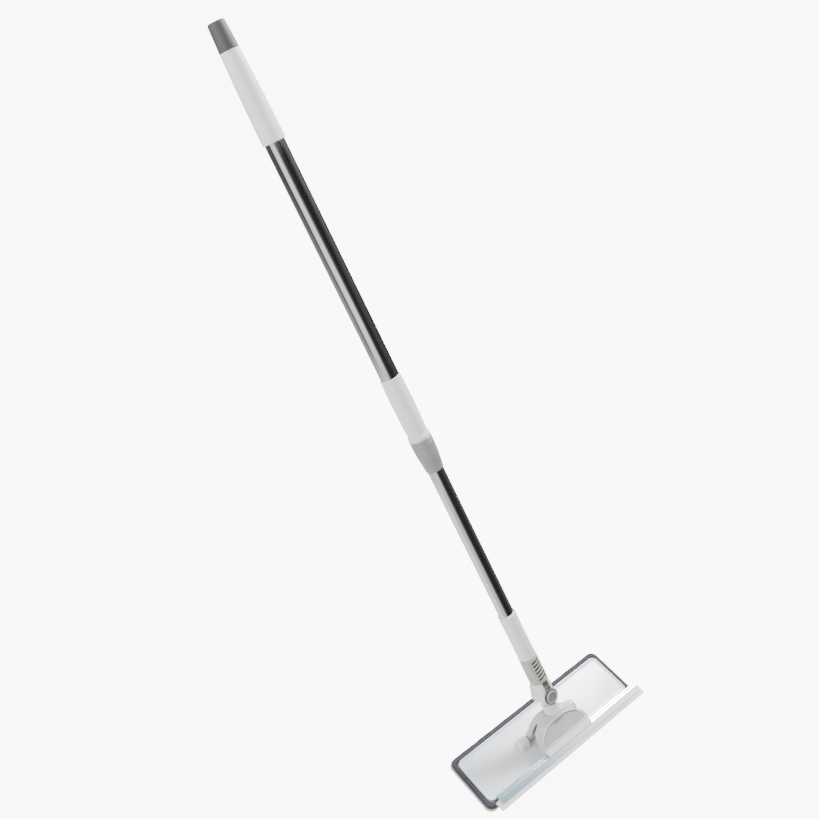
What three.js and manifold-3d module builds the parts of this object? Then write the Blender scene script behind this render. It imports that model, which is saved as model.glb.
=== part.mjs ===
// Two-in-one window tool: a microfibre pad plate and a squeegee on one bracket, on a telescopic pole.
// Millimetres. The origin is the middle of the pad's working face, +X along the pad, -Y towards the
// squeegee, +Z away from the glass. The pole is built straight, along the z axis of its own group.
import * as THREE from 'three';
import { mergeVertices } from 'three/addons/utils/BufferGeometryUtils.js';
import Module from 'manifold-3d';

const wasm = await Module();
wasm.setup();

// ---- driving dimensions ----
const GAP = 0.3;               // clearance between pieces that touch
const RUN = 0.3;               // radial clearance of pieces that slide or turn
const ROUND = 40;              // segments round a tube

const PAD_LENGTH = 300;        // over the hem
const PAD_WIDTH = 90;
const PAD_CORNER = 11;
const PILE_HEIGHT = 5;
const HEM_UNDER = 4;           // how far the pile is set in from the hem's outside
const HEM_ENDS = 8;            // hem seen beside the plate, at its ends and its sides
const HEM_SIDES = 8.5;
const HEM_LOW = 2.4;           // hem's lower edge, below the top of the pile
const HEM_DROP = 0.6;          // hem's upper edge, below the plate's floor
const PLATE_CORNER = 9;
const PLATE_FLOOR = 3;
const PLATE_RIM_HEIGHT = 1.5;
const PLATE_RIM_WIDTH = 2.6;
const STRIP_LENGTH = 250;
const STRIP_WIDTH = 18;
const STRIP_THICK = 1.4;
const STRIP_OFFSET = 22;

const HINGE_BARREL_R = 5.5;
const HINGE_CLEARANCE = 1;     // between the barrel and the plate
const HINGE_PIN_R = 2;
const EAR_LENGTH = 20.5;
const EAR_HALF_WIDTH = 12.5;
const EAR_WALL = 6;            // over the pin
const EAR_FLOOR = 3.5;         // behind the pin's end

const LEG_HALF = 37;           // bracket's half width at the hinge
const LEG_BACK_Y = 8.5;
const LEG_WALL = 5.2;
const HOOD_WALL = 4;
const HOOD_HALF = 43;          // half width at the jaw
const DOME_OVER = 1.5;         // the elliptic top is wider than the jaw by this
const DOME_BASE_Z = 42;
const DOME_RISE = 19.5;
const FLAP_TILT = 30;          // degrees, slope of the hood's front
const FLAP_CREST_Y = -12;
const FALL_START_Y = -9;       // behind this the hood's sides fall in towards the leg's back
const LEG_BACK_HALF = 27;      // half width of the leg's back above the hinge

const PANEL_RIM = 4;           // hood left round the panel's foot
const PANEL_RISE = 22.5;
const PANEL_START = 8.2;       // along the slope from its foot
const PANEL_THICK = 1.2;
const PANEL_RECESS = 0.7;

const BLADE_LENGTH = 290;
const BLADE_OVERHANG = 6.5;    // beyond the channel at each end
const BLADE_REACH = 6.4;       // in front of the lips
const BLADE_HALF = 1;          // half thickness
const BLADE_ROOT_HALF = 1.9;
const CHANNEL_REAR_Y = -40.2;
const CHANNEL_Z = 32.5;
const CHANNEL_DEPTH = 14.6;    // rear bead to lips
const CHANNEL_WALL = 0.8;
const CHANNEL_ROOM = 0.7;      // over the blade's root
const CHANNEL_BEAD_HALF = 2;
const CHANNEL_BEAD_DEPTH = 3;
const CHANNEL_WEB_HALF = 0.9;

const JAW_REACH = 8.3;         // over the channel, from its rear
const JAW_WALL = 4;
const JAW_LEDGE = 2.3;         // bar behind the channel's rear
const JAW_FRONT_HEIGHT = 4.2;
const JAW_SCREW_X = 25;
const JAW_SCREW_R = 1.5;
const JAW_SCREW_HEAD_R = 2.8;
const JAW_SCREW_HEAD_H = 2;
const JAW_SCREW_GRIP = 3.8;    // thread length in the bar

const NECK_LEAN = 33.3;        // degrees, pole leans back from the plate's normal
const POLE_SWING = -7.2;       // degrees, pole swings sideways on the pivot
const SEAT_BACK = 6.83;        // neck seat behind and below the hood's crest
const SEAT_DROP = 2.05;
const NECK_LENGTH = 16;        // round part
const NECK_R = 11.5;
const TENON_R = 7;
const TENON_LENGTH = 8;
const BOSS_DEPTH = 14;
const BOSS_FLARE = 6;
const TONGUE_HALF = 4;
const CHEEK = 6.2;
const HOUSING_THICK = 5.2;     // rear housing, behind the neck's round part
const HOUSING_OVER = 1.5;      // wider than the pivot barrel by this
const HOUSING_HALF = 11.5;     // half width and height above the pivot
const HOUSING_TOP = 21;
const PIVOT_PIN_R = 2.5;
const PIVOT_CAP_R = 7.2;
const PIVOT_CAP_THICK = 1.5;

const BUTTON_R = 9.3;
const BUTTON_PROUD = 3.7;      // beyond the cheek
const BUTTON_HEAD = 1.4;
const BUTTON_TRAVEL = 2;
const BEZEL_WALL = 1.65;
const BEZEL_HEIGHT = 2.6;
const GEAR_BITE = 1;           // lugs beyond the button's stem
const GEAR_TOOTH = 1.2;
const GEAR_LUGS = 6;
const GEAR_THICK = 3.6;
const GEAR_IN_TONGUE = 1;      // depth of the lock ring in the tongue at rest
const GEAR_WELL = 2.6;         // seat of the lock spring
const LOCK_SPRING_R = 3.9;
const WIRE = 0.7;

const TUBE_WALL = 0.8;
const UPPER_TUBE_R = 12.5;
const TUBE_PLAY = 0.7;         // radial, between the two tubes
const SHANK = 15.5;            // fork from the pivot barrel to the ring
const RING_LENGTH = 43.8;
const RING_WALL = 2.6;         // beyond the lower tube's radius
const RING_TAPER = 0.3;
const SPIGOT_INSET = 1.5;      // below the lower tube's radius
const TENON_UP = 9;            // ring's tenon in the socket
const LATCH_LENGTH = 38;
const LATCH_HALF = 7.6;
const LATCH_UP = 3.4;          // from the ring's lower end
const LATCH_RIB_HEIGHT = 0.6;
const LATCH_RIBS = 6;
const LATCH_RIB_WIDTH = 2.6;
const LATCH_DEPTH = 6.9;
const LATCH_TRAVEL = 5;
const LATCH_WELL = 3;
const LATCH_SPRING_R = 2.5;
const SOCKET_LENGTH = 76.5;
const SOCKET_WALL = 2;
const SOCKET_WAIST = 0.3;
const SOCKET_PIN_R = 1.5;
const SOCKET_PIN_UP = 18;      // above the tube's lower end
const LOWER_TUBE_SHOWN = 242.2;
const LOWER_TUBE_HIDDEN = 160.5; // above the collar's lower end
const PLUG_LENGTH = 14;
const PLUG_SPIGOT = 16;
const COLLAR_LENGTH = 47.8;
const COLLAR_END_WALL = 1.2;   // beyond the lower tube's radius
const COLLAR_WALL = 2;         // round the thread
const THREAD_WALL = 0.7;       // beyond the upper tube's radius
const THREAD_LENGTH = 22;
const COLLET_LENGTH = 13;
const COLLET_SLOT = 2;
const SLEEVE_LENGTH = 90.8;
const SLEEVE_WALL = 1.9;       // all beyond the upper tube's radius
const SLEEVE_TOP_WALL = 1.4;
const SLEEVE_WAIST_WALL = 1.1;
const SLEEVE_RIM_WALL = 2.5;
const TUBE_IN_SLEEVE = 64;
const UPPER_TUBE_SHOWN = 312.3;
const GRIP_LENGTH = 107.3;
const GRIP_MOUTH_WALL = 1.9;   // beyond the upper tube's radius
const GRIP_TOP_R = 12;
const GRIP_BORE_DEPTH = 42;
const GRIP_WALL = 1.8;
const CAP_LENGTH = 32.1;
const CAP_TOP_R = 10.6;
const CAP_ROUND = 4;
const CAP_PLUG = 12;

// ---- sizes that follow ----
const slope = Math.tan(THREE.MathUtils.degToRad(FLAP_TILT));
const plateBottom = PILE_HEIGHT + GAP + STRIP_THICK + GAP;
const plateTop = plateBottom + PLATE_FLOOR;
const plateLength = PAD_LENGTH - 2 * HEM_ENDS;
const plateWidth = PAD_WIDTH - 2 * HEM_SIDES;
const hingeZ = plateTop + HINGE_CLEARANCE + HINGE_BARREL_R;
const channelLength = BLADE_LENGTH - 2 * BLADE_OVERHANG;
const lipHalf = BLADE_HALF + GAP + CHANNEL_WALL;
const bodyHalf = BLADE_ROOT_HALF + CHANNEL_ROOM + CHANNEL_WALL;
const jawBottom = CHANNEL_Z + bodyHalf + GAP;
const jawFloor = CHANNEL_Z - bodyHalf - GAP;
const jawReachY = CHANNEL_REAR_Y - JAW_REACH;
const flapEndY = CHANNEL_REAR_Y + JAW_LEDGE;
const flapFootY = flapEndY - 6.1;
const flapZ = (y) => DOME_BASE_Z + (y - flapFootY) * slope;
const crestZ = flapZ(FLAP_CREST_Y);

const lowerTubeR = UPPER_TUBE_R - TUBE_WALL - TUBE_PLAY;
const ringR = lowerTubeR + RING_WALL;
const ringTopR = ringR - RING_TAPER;
const spigotR = lowerTubeR - SPIGOT_INSET;
const forkBodyR = ringR - 0.2;
const forkR = ringR - 0.1;
const forkHalf = TONGUE_HALF + RUN + CHEEK;
const tongueR = forkR - RUN;
const housingFront = NECK_R + 2 * GAP;
const housingRear = housingFront + HOUSING_THICK;
const neckShoulder = -forkR - 0.5;
const neckFoot = neckShoulder - NECK_LENGTH;
const bezelR = BUTTON_R + 0.35 + BEZEL_WALL;
const stemR = BUTTON_R - 1.1;
const gearTipR = stemR + GEAR_BITE;
const ringBottom = forkR + SHANK;
const ringTop = ringBottom + RING_LENGTH;
const latchLow = ringBottom + LATCH_UP;
const latchTop = latchLow + LATCH_LENGTH;
const latchInner = ringTopR - LATCH_DEPTH;
const latchMiddle = (latchLow + latchTop) / 2;
const spigotTop = latchTop + 3.6;
const socketBoreR = lowerTubeR + GAP;
const socketR = lowerTubeR + SOCKET_WALL;
const socketWaistR = socketR - SOCKET_WAIST;
const socketTop = ringTop + SOCKET_LENGTH;
const tubeSeat = ringTop + TENON_UP + 0.2;
const pinZ = tubeSeat + SOCKET_PIN_UP;
const collarBottom = socketTop + LOWER_TUBE_SHOWN;
const collarTop = collarBottom + COLLAR_LENGTH;
const lowerTubeTop = collarBottom + LOWER_TUBE_HIDDEN;
const sleeveTop = collarTop + GAP + SLEEVE_LENGTH;
const gripBottom = sleeveTop + UPPER_TUBE_SHOWN;
const gripTop = gripBottom + GRIP_LENGTH;
const capTop = gripTop + GAP + CAP_LENGTH;
const slideBoreR = lowerTubeR + RUN;
const threadR = UPPER_TUBE_R + THREAD_WALL;
const collarTopR = threadR + COLLAR_WALL;
const collarBottomR = lowerTubeR + COLLAR_END_WALL;

// ---- colours ----
const WHITE = { color: '#dcdedf', roughness: 0.42, metalness: 0 };
const SHADE = { color: '#c8c7c4', roughness: 0.45, metalness: 0 };
const PANEL = { color: '#a9a29d', roughness: 0.5, metalness: 0 };
const KHAKI = { color: '#a9a795', roughness: 0.5, metalness: 0 };
const COLLAR = { color: '#8f9795', roughness: 0.5, metalness: 0 };
const CHARCOAL = { color: '#4b4844', roughness: 0.7, metalness: 0 };
const DARK = { color: '#55585b', roughness: 0.5, metalness: 0 };
const BUTTON = { color: '#82858a', roughness: 0.45, metalness: 0 };
const CHROME = { color: '#d8dadc', roughness: 0.08, metalness: 1 };
const STEEL = { color: '#9a9da0', roughness: 0.3, metalness: 1 };
const PLATE = { color: '#d4d8dc', roughness: 0.35, metalness: 0 };
const SILICONE = { color: '#e1e3e6', roughness: 0.3, metalness: 0 };
const PILE = { color: '#e6dfcf', roughness: 1, metalness: 0 };
const HEM = { color: '#3e404a', roughness: 0.95, metalness: 0 };
const HOOK = { color: '#e4e4e0', roughness: 0.9, metalness: 0 };
const NYLON = { color: '#b9bcbf', roughness: 0.5, metalness: 0 };

const rad = THREE.MathUtils.degToRad;

// ---- joining and cutting ----
function toSolid(geometry) {
  const bare = geometry.index ? geometry.toNonIndexed() : geometry.clone();
  for (const name of Object.keys(bare.attributes)) {
    if (name !== 'position') bare.deleteAttribute(name);
  }
  const merged = mergeVertices(bare, 1e-4);
  return new wasm.Manifold(new wasm.Mesh({
    numProp: 3,
    vertProperties: new Float32Array(merged.attributes.position.array),
    triVerts: new Uint32Array(merged.index.array),
  }));
}

function toGeometry(solid) {
  const mesh = solid.getMesh();
  const geometry = new THREE.BufferGeometry();
  geometry.setAttribute('position', new THREE.BufferAttribute(mesh.vertProperties, 3));
  geometry.setIndex(new THREE.BufferAttribute(mesh.triVerts, 1));
  return geometry;
}

function join(first, ...others) {
  return toGeometry(others.reduce((sum, other) => sum.add(toSolid(other)), toSolid(first)));
}

function cut(first, ...others) {
  return toGeometry(others.reduce((rest, other) => rest.subtract(toSolid(other)), toSolid(first)));
}

function common(first, ...others) {
  return toGeometry(others.reduce((rest, other) => rest.intersect(toSolid(other)), toSolid(first)));
}

// ---- basic shapes ----
function block(x0, x1, y0, y1, z0, z1) {
  const box = new THREE.BoxGeometry(x1 - x0, y1 - y0, z1 - z0);
  return box.translate((x0 + x1) / 2, (y0 + y1) / 2, (z0 + z1) / 2);
}

// a body turned round z; the profile is a closed list of [radius, z]
function turned(profile, segments = ROUND) {
  const points = profile.map(([r, z]) => new THREE.Vector2(r, z));
  if (profile[0][0] !== 0) points.push(points[0].clone());
  return new THREE.LatheGeometry(points, segments).rotateX(Math.PI / 2);
}

function rodZ(radius, z0, z1, segments = ROUND) {
  return turned([[0, z0], [radius, z0], [radius, z1], [0, z1]], segments);
}

function tubeZ(outer, inner, z0, z1, segments = ROUND) {
  return turned([[inner, z0], [outer, z0], [outer, z1], [inner, z1]], segments);
}

// turned bodies along y, from y0 to y1
function rodY(radius, y0, y1, segments = ROUND) {
  return rodZ(radius, -y1, -y0, segments).rotateX(Math.PI / 2);
}

function rodX(radius, x0, x1, segments = ROUND) {
  return rodZ(radius, x0, x1, segments).rotateY(Math.PI / 2);
}

function outline(points) {
  return new THREE.Shape(points.map(([a, b]) => new THREE.Vector2(a, b)));
}

function extruded(shape, depth, curveSegments = 12) {
  return new THREE.ExtrudeGeometry(shape, { depth, bevelEnabled: false, curveSegments });
}

// a y-z profile drawn out along x, from x0 to x1
function alongX(points, x0, x1) {
  const flat = extruded(outline(points), x1 - x0);
  return flat.applyMatrix4(new THREE.Matrix4().makeBasis(
    new THREE.Vector3(0, 1, 0), new THREE.Vector3(0, 0, 1), new THREE.Vector3(1, 0, 0),
  )).translate(x0, 0, 0);
}

// an x-z outline drawn out along y, from y0 to y1
function alongY(points, y0, y1) {
  const flat = extruded(outline(points.map(([x, z]) => [-x, z])), y1 - y0);
  return flat.applyMatrix4(new THREE.Matrix4().makeBasis(
    new THREE.Vector3(-1, 0, 0), new THREE.Vector3(0, 0, 1), new THREE.Vector3(0, 1, 0),
  )).translate(0, y0, 0);
}

function roundedPlate(length, width, corner, z0, z1) {
  const x = length / 2;
  const y = width / 2;
  const shape = new THREE.Shape();
  shape.moveTo(-x + corner, -y);
  shape.lineTo(x - corner, -y);
  shape.absarc(x - corner, -y + corner, corner, -Math.PI / 2, 0);
  shape.lineTo(x, y - corner);
  shape.absarc(x - corner, y - corner, corner, 0, Math.PI / 2);
  shape.lineTo(-x + corner, y);
  shape.absarc(-x + corner, y - corner, corner, Math.PI / 2, Math.PI);
  shape.lineTo(-x, -y + corner);
  shape.absarc(-x + corner, -y + corner, corner, Math.PI, Math.PI * 1.5);
  return extruded(shape, z1 - z0, 6).translate(0, 0, z0);
}

// a round-wire coil spring about z
class Helix extends THREE.Curve {
  constructor(radius, z0, z1, turns) {
    super();
    Object.assign(this, { radius, z0, z1, turns });
  }

  getPoint(t, target = new THREE.Vector3()) {
    const angle = t * this.turns * 2 * Math.PI;
    const z = this.z0 + (this.z1 - this.z0) * t;
    return target.set(this.radius * Math.cos(angle), this.radius * Math.sin(angle), z);
  }
}

function coil(radius, wire, z0, z1, turns) {
  const section = new THREE.Shape();
  section.absarc(0, 0, wire / 2, 0, Math.PI * 2);
  const path = new Helix(radius, z0 + wire / 2, z1 - wire / 2, turns);
  return new THREE.ExtrudeGeometry(section, {
    steps: Math.round(turns * 12), curveSegments: 3, extrudePath: path, bevelEnabled: false,
  });
}

// ---- groups and placing ----
const tool = new THREE.Group();
const neckGroup = new THREE.Group();
const lean = rad(NECK_LEAN);
const seatY = FLAP_CREST_Y + SEAT_BACK;
const seatZ = crestZ - SEAT_DROP;
neckGroup.position.set(0, seatY - neckFoot * Math.sin(lean), seatZ - neckFoot * Math.cos(lean));
neckGroup.rotation.x = -lean;
const poleGroup = new THREE.Group();
poleGroup.rotation.y = rad(POLE_SWING);
neckGroup.add(poleGroup);
tool.add(neckGroup);
neckGroup.updateMatrix();

function place(group, name, geometry, look) {
  geometry.computeVertexNormals();
  const mesh = new THREE.Mesh(geometry, new THREE.MeshStandardMaterial(look));
  mesh.name = name;
  group.add(mesh);
}

// ================= pad and plate =================
const pileLength = PAD_LENGTH - 2 * HEM_UNDER;
const pileWidth = PAD_WIDTH - 2 * HEM_UNDER;

// microfibre pile, a plain block of its full size
function pad() {
  return roundedPlate(pileLength, pileWidth, PAD_CORNER - HEM_UNDER, 0, PILE_HEIGHT);
}

// folded hem round the pad; it laps the pile below and the plate's edge above
function padHem() {
  const outer = roundedPlate(PAD_LENGTH, PAD_WIDTH, PAD_CORNER, PILE_HEIGHT - HEM_LOW,
    plateTop - HEM_DROP);
  const overPile = roundedPlate(pileLength + 2 * GAP, pileWidth + 2 * GAP,
    PAD_CORNER - HEM_UNDER + GAP, 0, PILE_HEIGHT + GAP);
  const overPlate = roundedPlate(plateLength + 2 * GAP, plateWidth + 2 * GAP,
    PLATE_CORNER + GAP, 0, plateTop);
  return cut(outer, overPile, overPlate);
}

// hook strip between plate and pad
function gripStrip(side) {
  const y = side * STRIP_OFFSET;
  const low = PILE_HEIGHT + GAP;
  return block(-STRIP_LENGTH / 2, STRIP_LENGTH / 2, y - STRIP_WIDTH / 2, y + STRIP_WIDTH / 2,
    low, low + STRIP_THICK);
}

// plate with a raised rim
function plate() {
  const body = roundedPlate(plateLength, plateWidth, PLATE_CORNER, plateBottom,
    plateTop + PLATE_RIM_HEIGHT);
  const tray = roundedPlate(plateLength - 2 * PLATE_RIM_WIDTH, plateWidth - 2 * PLATE_RIM_WIDTH,
    PLATE_CORNER - PLATE_RIM_WIDTH, plateTop, plateTop + PLATE_RIM_HEIGHT + 1);
  return cut(body, tray);
}

// one ear of the plate hinge: a rounded block with a blind bore for the pin
const earInner = LEG_HALF + 0.6;
const earOuter = earInner + EAR_LENGTH;
function hingeEar(side) {
  const base = plateTop + GAP;
  const top = hingeZ + HINGE_PIN_R + GAP + EAR_WALL;
  const half = EAR_HALF_WIDTH;
  const rise = top - base;
  const flank = [[0, 1], [0.35, 0.96], [0.62, 0.82], [0.78, 0.58], [0.88, 0.3], [1, 0.08], [1, 0]];
  const right = flank.map(([a, b]) => [a * half, base + b * rise]);
  const left = flank.slice(1).reverse().map(([a, b]) => [-a * half, base + b * rise]);
  const body = alongX([...left, ...right], earInner, earOuter);
  const bore = rodX(HINGE_PIN_R + GAP, earInner - 1, earOuter - EAR_FLOOR, 20);
  const ear = cut(body, bore.translate(0, 0, hingeZ));
  return side > 0 ? ear : ear.rotateZ(Math.PI);
}

function hingePin() {
  const end = earOuter - EAR_FLOOR - GAP;
  return rodX(HINGE_PIN_R, -end, end, 20).translate(0, 0, hingeZ);
}

place(tool, 'pad', pad(), PILE);
place(tool, 'pad_hem', padHem(), HEM);
place(tool, 'grip_strip_front', gripStrip(-1), HOOK);
place(tool, 'grip_strip_back', gripStrip(1), HOOK);
place(tool, 'plate', plate(), PLATE);
place(tool, 'hinge_ear_left', hingeEar(-1), PLATE);
place(tool, 'hinge_ear_right', hingeEar(1), PLATE);
place(tool, 'hinge_pin', hingePin(), STEEL);

// ================= squeegee =================
const lipY = CHANNEL_REAR_Y - CHANNEL_DEPTH;
const grooveY = CHANNEL_REAR_Y - CHANNEL_BEAD_DEPTH - 1.2;
const bodyStart = CHANNEL_BEAD_DEPTH + 2.8;

// half of the channel's outside, as [distance from the rear, half thickness]
const channelFlank = [
  [0, 0.9], [0.35, 1.6], [1, CHANNEL_BEAD_HALF], [CHANNEL_BEAD_DEPTH - 0.7, CHANNEL_BEAD_HALF],
  [CHANNEL_BEAD_DEPTH, 1.6], [CHANNEL_BEAD_DEPTH + 0.5, CHANNEL_WEB_HALF],
  [bodyStart - 0.9, CHANNEL_WEB_HALF], [bodyStart - 0.3, bodyHalf - 0.5],
  [bodyStart + 0.4, bodyHalf], [CHANNEL_DEPTH, lipHalf],
];

const screwSpots = [-JAW_SCREW_X, JAW_SCREW_X];

function screwHole(radius, z0, z1) {
  return screwSpots.map((x) => rodZ(radius, z0, z1, 16).translate(x, grooveY, 0));
}

// bent metal channel with a rear bead, a groove and two lips that hold the blade
function squeegeeChannel() {
  const y = (u) => CHANNEL_REAR_Y - u;
  const upper = channelFlank.map(([u, h]) => [y(u), CHANNEL_Z + h]);
  const lower = channelFlank.map(([u, h]) => [y(u), CHANNEL_Z - h]);
  const lipInside = lipHalf - CHANNEL_WALL;
  const cavityHalf = bodyHalf - CHANNEL_WALL;
  const cavityStart = bodyStart + CHANNEL_WALL;
  const inside = [
    [y(CHANNEL_DEPTH), CHANNEL_Z + lipInside], [y(cavityStart), CHANNEL_Z + cavityHalf],
    [y(cavityStart), CHANNEL_Z - cavityHalf], [y(CHANNEL_DEPTH), CHANNEL_Z - lipInside],
  ];
  const profile = [...upper, ...inside, ...lower.reverse()];
  const bar = alongX(profile, -channelLength / 2, channelLength / 2);
  return cut(bar, ...screwHole(JAW_SCREW_R + GAP, jawFloor, jawBottom));
}

// silicone blade with a thick root inside the channel
function squeegeeBlade() {
  const rootY = CHANNEL_REAR_Y - bodyStart - CHANNEL_WALL - 0.6;
  const neckY = rootY - 2.2;
  const tipY = lipY - BLADE_REACH;
  const z = CHANNEL_Z;
  return alongX([
    [rootY, z - BLADE_ROOT_HALF], [rootY, z + BLADE_ROOT_HALF],
    [neckY, z + BLADE_ROOT_HALF], [neckY - 0.8, z + BLADE_HALF],
    [tipY, z + BLADE_HALF], [tipY, z - BLADE_HALF],
    [neckY - 0.8, z - BLADE_HALF], [neckY, z - BLADE_ROOT_HALF],
  ], -BLADE_LENGTH / 2, BLADE_LENGTH / 2);
}

place(tool, 'squeegee_channel', squeegeeChannel(), CHROME);
place(tool, 'squeegee_blade', squeegeeBlade(), SILICONE);

// ================= bracket =================
const domeHalf = HOOD_HALF + DOME_OVER;
const jawRearY = CHANNEL_REAR_Y + GAP;
const jawBackWallY = jawRearY + JAW_WALL;
const jawLow = jawFloor - JAW_WALL;

// side outline: squeegee jaw, front slope, crest under the neck, rear leg, hinge barrel, side arch
function bracketSide() {
  const barrel = [];
  for (let i = 0; i <= 10; i += 1) {
    const angle = rad(20 - i * 22);
    barrel.push([HINGE_BARREL_R * Math.cos(angle), hingeZ + HINGE_BARREL_R * Math.sin(angle)]);
  }
  const legTop = hingeZ + HINGE_BARREL_R;
  const archZ = jawFloor - 0.8 + (crestZ - jawFloor) * 0.55;
  return [
    [jawReachY, jawLow], [jawReachY, jawFloor], [jawRearY, jawFloor],
    [jawRearY, jawBottom - GAP], [flapEndY, jawBottom - GAP], [flapEndY, flapZ(flapEndY)],
    [FLAP_CREST_Y, crestZ], [-6, crestZ - 0.4], [2, crestZ - 3], [LEG_BACK_Y - 1.2, crestZ - 8],
    [LEG_BACK_Y, crestZ - 15], [LEG_BACK_Y, legTop + 8], [LEG_BACK_Y - 2, legTop],
    ...barrel,
    [-3.2, legTop + 1], [-0.6, legTop + 6], [-0.4, archZ - 9.4], [-1.4, archZ - 3.4], [-4, archZ],
    [-8, archZ - 1.2], [-13, archZ - 6.9], [-20, archZ - 14.8], [-28, jawLow + 1],
    [jawBackWallY, jawLow],
  ];
}

// front outline of the hood: straight sides and an elliptic top
function hoodFront(inset) {
  const half = domeHalf - inset;
  const rise = DOME_RISE - inset * 0.8;
  const points = [[-half, 0], [half, 0]];
  for (let i = 0; i <= 24; i += 1) {
    const angle = (i / 24) * Math.PI;
    points.push([half * Math.cos(angle), DOME_BASE_Z + rise * Math.sin(angle)]);
  }
  return alongY(points, jawReachY - 5, LEG_BACK_Y + 5);
}

// plan outline: full width at the jaw, narrower at the leg
function hoodPlan(inset) {
  const jaw = HOOD_HALF - inset;
  const leg = LEG_HALF - inset;
  const back = LEG_BACK_Y + 5;
  return extruded(outline([
    [-jaw, jawReachY - 5], [jaw, jawReachY - 5], [jaw, jawBackWallY], [leg, -6], [leg, back],
    [-leg, back], [-leg, -6], [-jaw, jawBackWallY],
  ]), 90);
}

// corners behind the crest, where the hood's sides turn in to the leg's back above the hinge
function rearCorners(inset) {
  const floor = hingeZ + HINGE_BARREL_R + 2 - inset;
  const back = LEG_BACK_Y + 10;
  const start = FALL_START_Y - inset / 2;
  const inner = LEG_BACK_HALF - inset;
  return [-1, 1].map((side) => extruded(outline([
    [HOOD_HALF + 5, start], [HOOD_HALF + 5, back], [inner - 3, back], [inner, 3],
    [LEG_HALF + 2, start],
  ].map(([x, y]) => [side * x, y])), 60).translate(0, 0, floor));
}

function hoodHollow() {
  const under = HOOD_WALL / Math.cos(rad(FLAP_TILT));
  const y0 = jawBackWallY;
  const y1 = LEG_BACK_Y - LEG_WALL;
  const profile = [
    [y0, jawLow - 10], [y1, hingeZ + HINGE_BARREL_R + 1.5], [y1, crestZ - 11], [-4, crestZ - 6],
    [FLAP_CREST_Y, crestZ - under], [y0, flapZ(y0) - under],
  ];
  const full = common(alongX(profile, -domeHalf, domeHalf), hoodFront(HOOD_WALL), hoodPlan(HOOD_WALL));
  return cut(full, ...rearCorners(HOOD_WALL));
}

// half-ellipse in the plane of the slope, from its straight edge up
function panelSolid(grow, top, bottom) {
  const panelHalf = domeHalf - PANEL_RIM;
  const points = [];
  for (let i = 0; i <= 28; i += 1) {
    const angle = (i / 28) * Math.PI;
    points.push([(panelHalf + grow) * Math.cos(angle), (PANEL_RISE + grow) * Math.sin(angle)]);
  }
  points.push([-panelHalf - grow, -grow], [panelHalf + grow, -grow]);
  const solid = extruded(outline(points), top - bottom).translate(0, PANEL_START, bottom);
  return solid.rotateX(rad(FLAP_TILT)).translate(0, flapFootY, DOME_BASE_Z);
}

// seat for the neck, in the neck's own axes
function neckBoss() {
  const top = neckFoot - GAP;
  return turned([
    [0, top - BOSS_DEPTH], [NECK_R + BOSS_FLARE, top - BOSS_DEPTH],
    [NECK_R + BOSS_FLARE, top - BOSS_DEPTH + 2], [NECK_R + 2.9, top - 7.6],
    [NECK_R + 1.1, top - 3.6], [NECK_R + 0.4, top - 0.6], [NECK_R, top], [0, top],
  ]).applyMatrix4(neckGroup.matrix);
}

function bracket() {
  const full = common(alongX(bracketSide(), -domeHalf, domeHalf), hoodFront(0), hoodPlan(0));
  const shell = cut(full, ...rearCorners(0));
  const neckRoom = rodZ(NECK_R + 0.8, neckFoot - GAP, 0).applyMatrix4(neckGroup.matrix);
  const tenonBore = rodZ(TENON_R + GAP, neckFoot - TENON_LENGTH - 2 * GAP, 0)
    .applyMatrix4(neckGroup.matrix);
  const pinBore = rodX(HINGE_PIN_R + GAP, -domeHalf, domeHalf, 20).translate(0, 0, hingeZ);
  const pocketFloor = -PANEL_RECESS - PANEL_THICK - GAP;
  const headTop = jawLow + JAW_SCREW_HEAD_H + 2 * GAP;
  return cut(
    join(cut(shell, hoodHollow()), neckBoss()),
    neckRoom, tenonBore, pinBore,
    panelSolid(GAP, 3, pocketFloor),
    ...screwHole(JAW_SCREW_R + GAP, jawLow - 1, jawFloor + 1),
    ...screwHole(JAW_SCREW_HEAD_R + GAP, jawLow - 1, headTop),
  );
}

// bar that clamps the channel's bead down onto the lower jaw
function jawBar() {
  const rear = flapEndY - GAP;
  const body = alongX([
    [rear, jawBottom], [rear, flapZ(rear)], [jawReachY, jawBottom + JAW_FRONT_HEIGHT],
    [jawReachY, jawBottom],
  ], -HOOD_HALF, HOOD_HALF);
  return cut(body, ...screwHole(JAW_SCREW_R + GAP, jawBottom - 1, jawBottom + JAW_SCREW_GRIP + GAP));
}

function jawScrew(x) {
  const headLow = jawLow + GAP;
  const headHigh = headLow + JAW_SCREW_HEAD_H;
  return turned([
    [0, headLow], [JAW_SCREW_HEAD_R, headLow], [JAW_SCREW_HEAD_R, headHigh],
    [JAW_SCREW_R, headHigh], [JAW_SCREW_R, jawBottom + JAW_SCREW_GRIP],
    [0, jawBottom + JAW_SCREW_GRIP],
  ], 16).translate(x, grooveY, 0);
}

place(tool, 'bracket', bracket(), SHADE);
place(tool, 'panel_insert', panelSolid(0, -PANEL_RECESS, -PANEL_RECESS - PANEL_THICK), PANEL);
place(tool, 'jaw_bar', jawBar(), WHITE);
place(tool, 'jaw_screw_left', jawScrew(-JAW_SCREW_X), STEEL);
place(tool, 'jaw_screw_right', jawScrew(JAW_SCREW_X), STEEL);

// ================= neck and its lock =================
const gearFront = -TONGUE_HALF + GEAR_IN_TONGUE - GEAR_THICK;
const gearBack = gearFront + GEAR_THICK;
const gearPocketFloor = gearBack + BUTTON_TRAVEL + GAP;
const gearWellFront = gearBack - GEAR_WELL;

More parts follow.
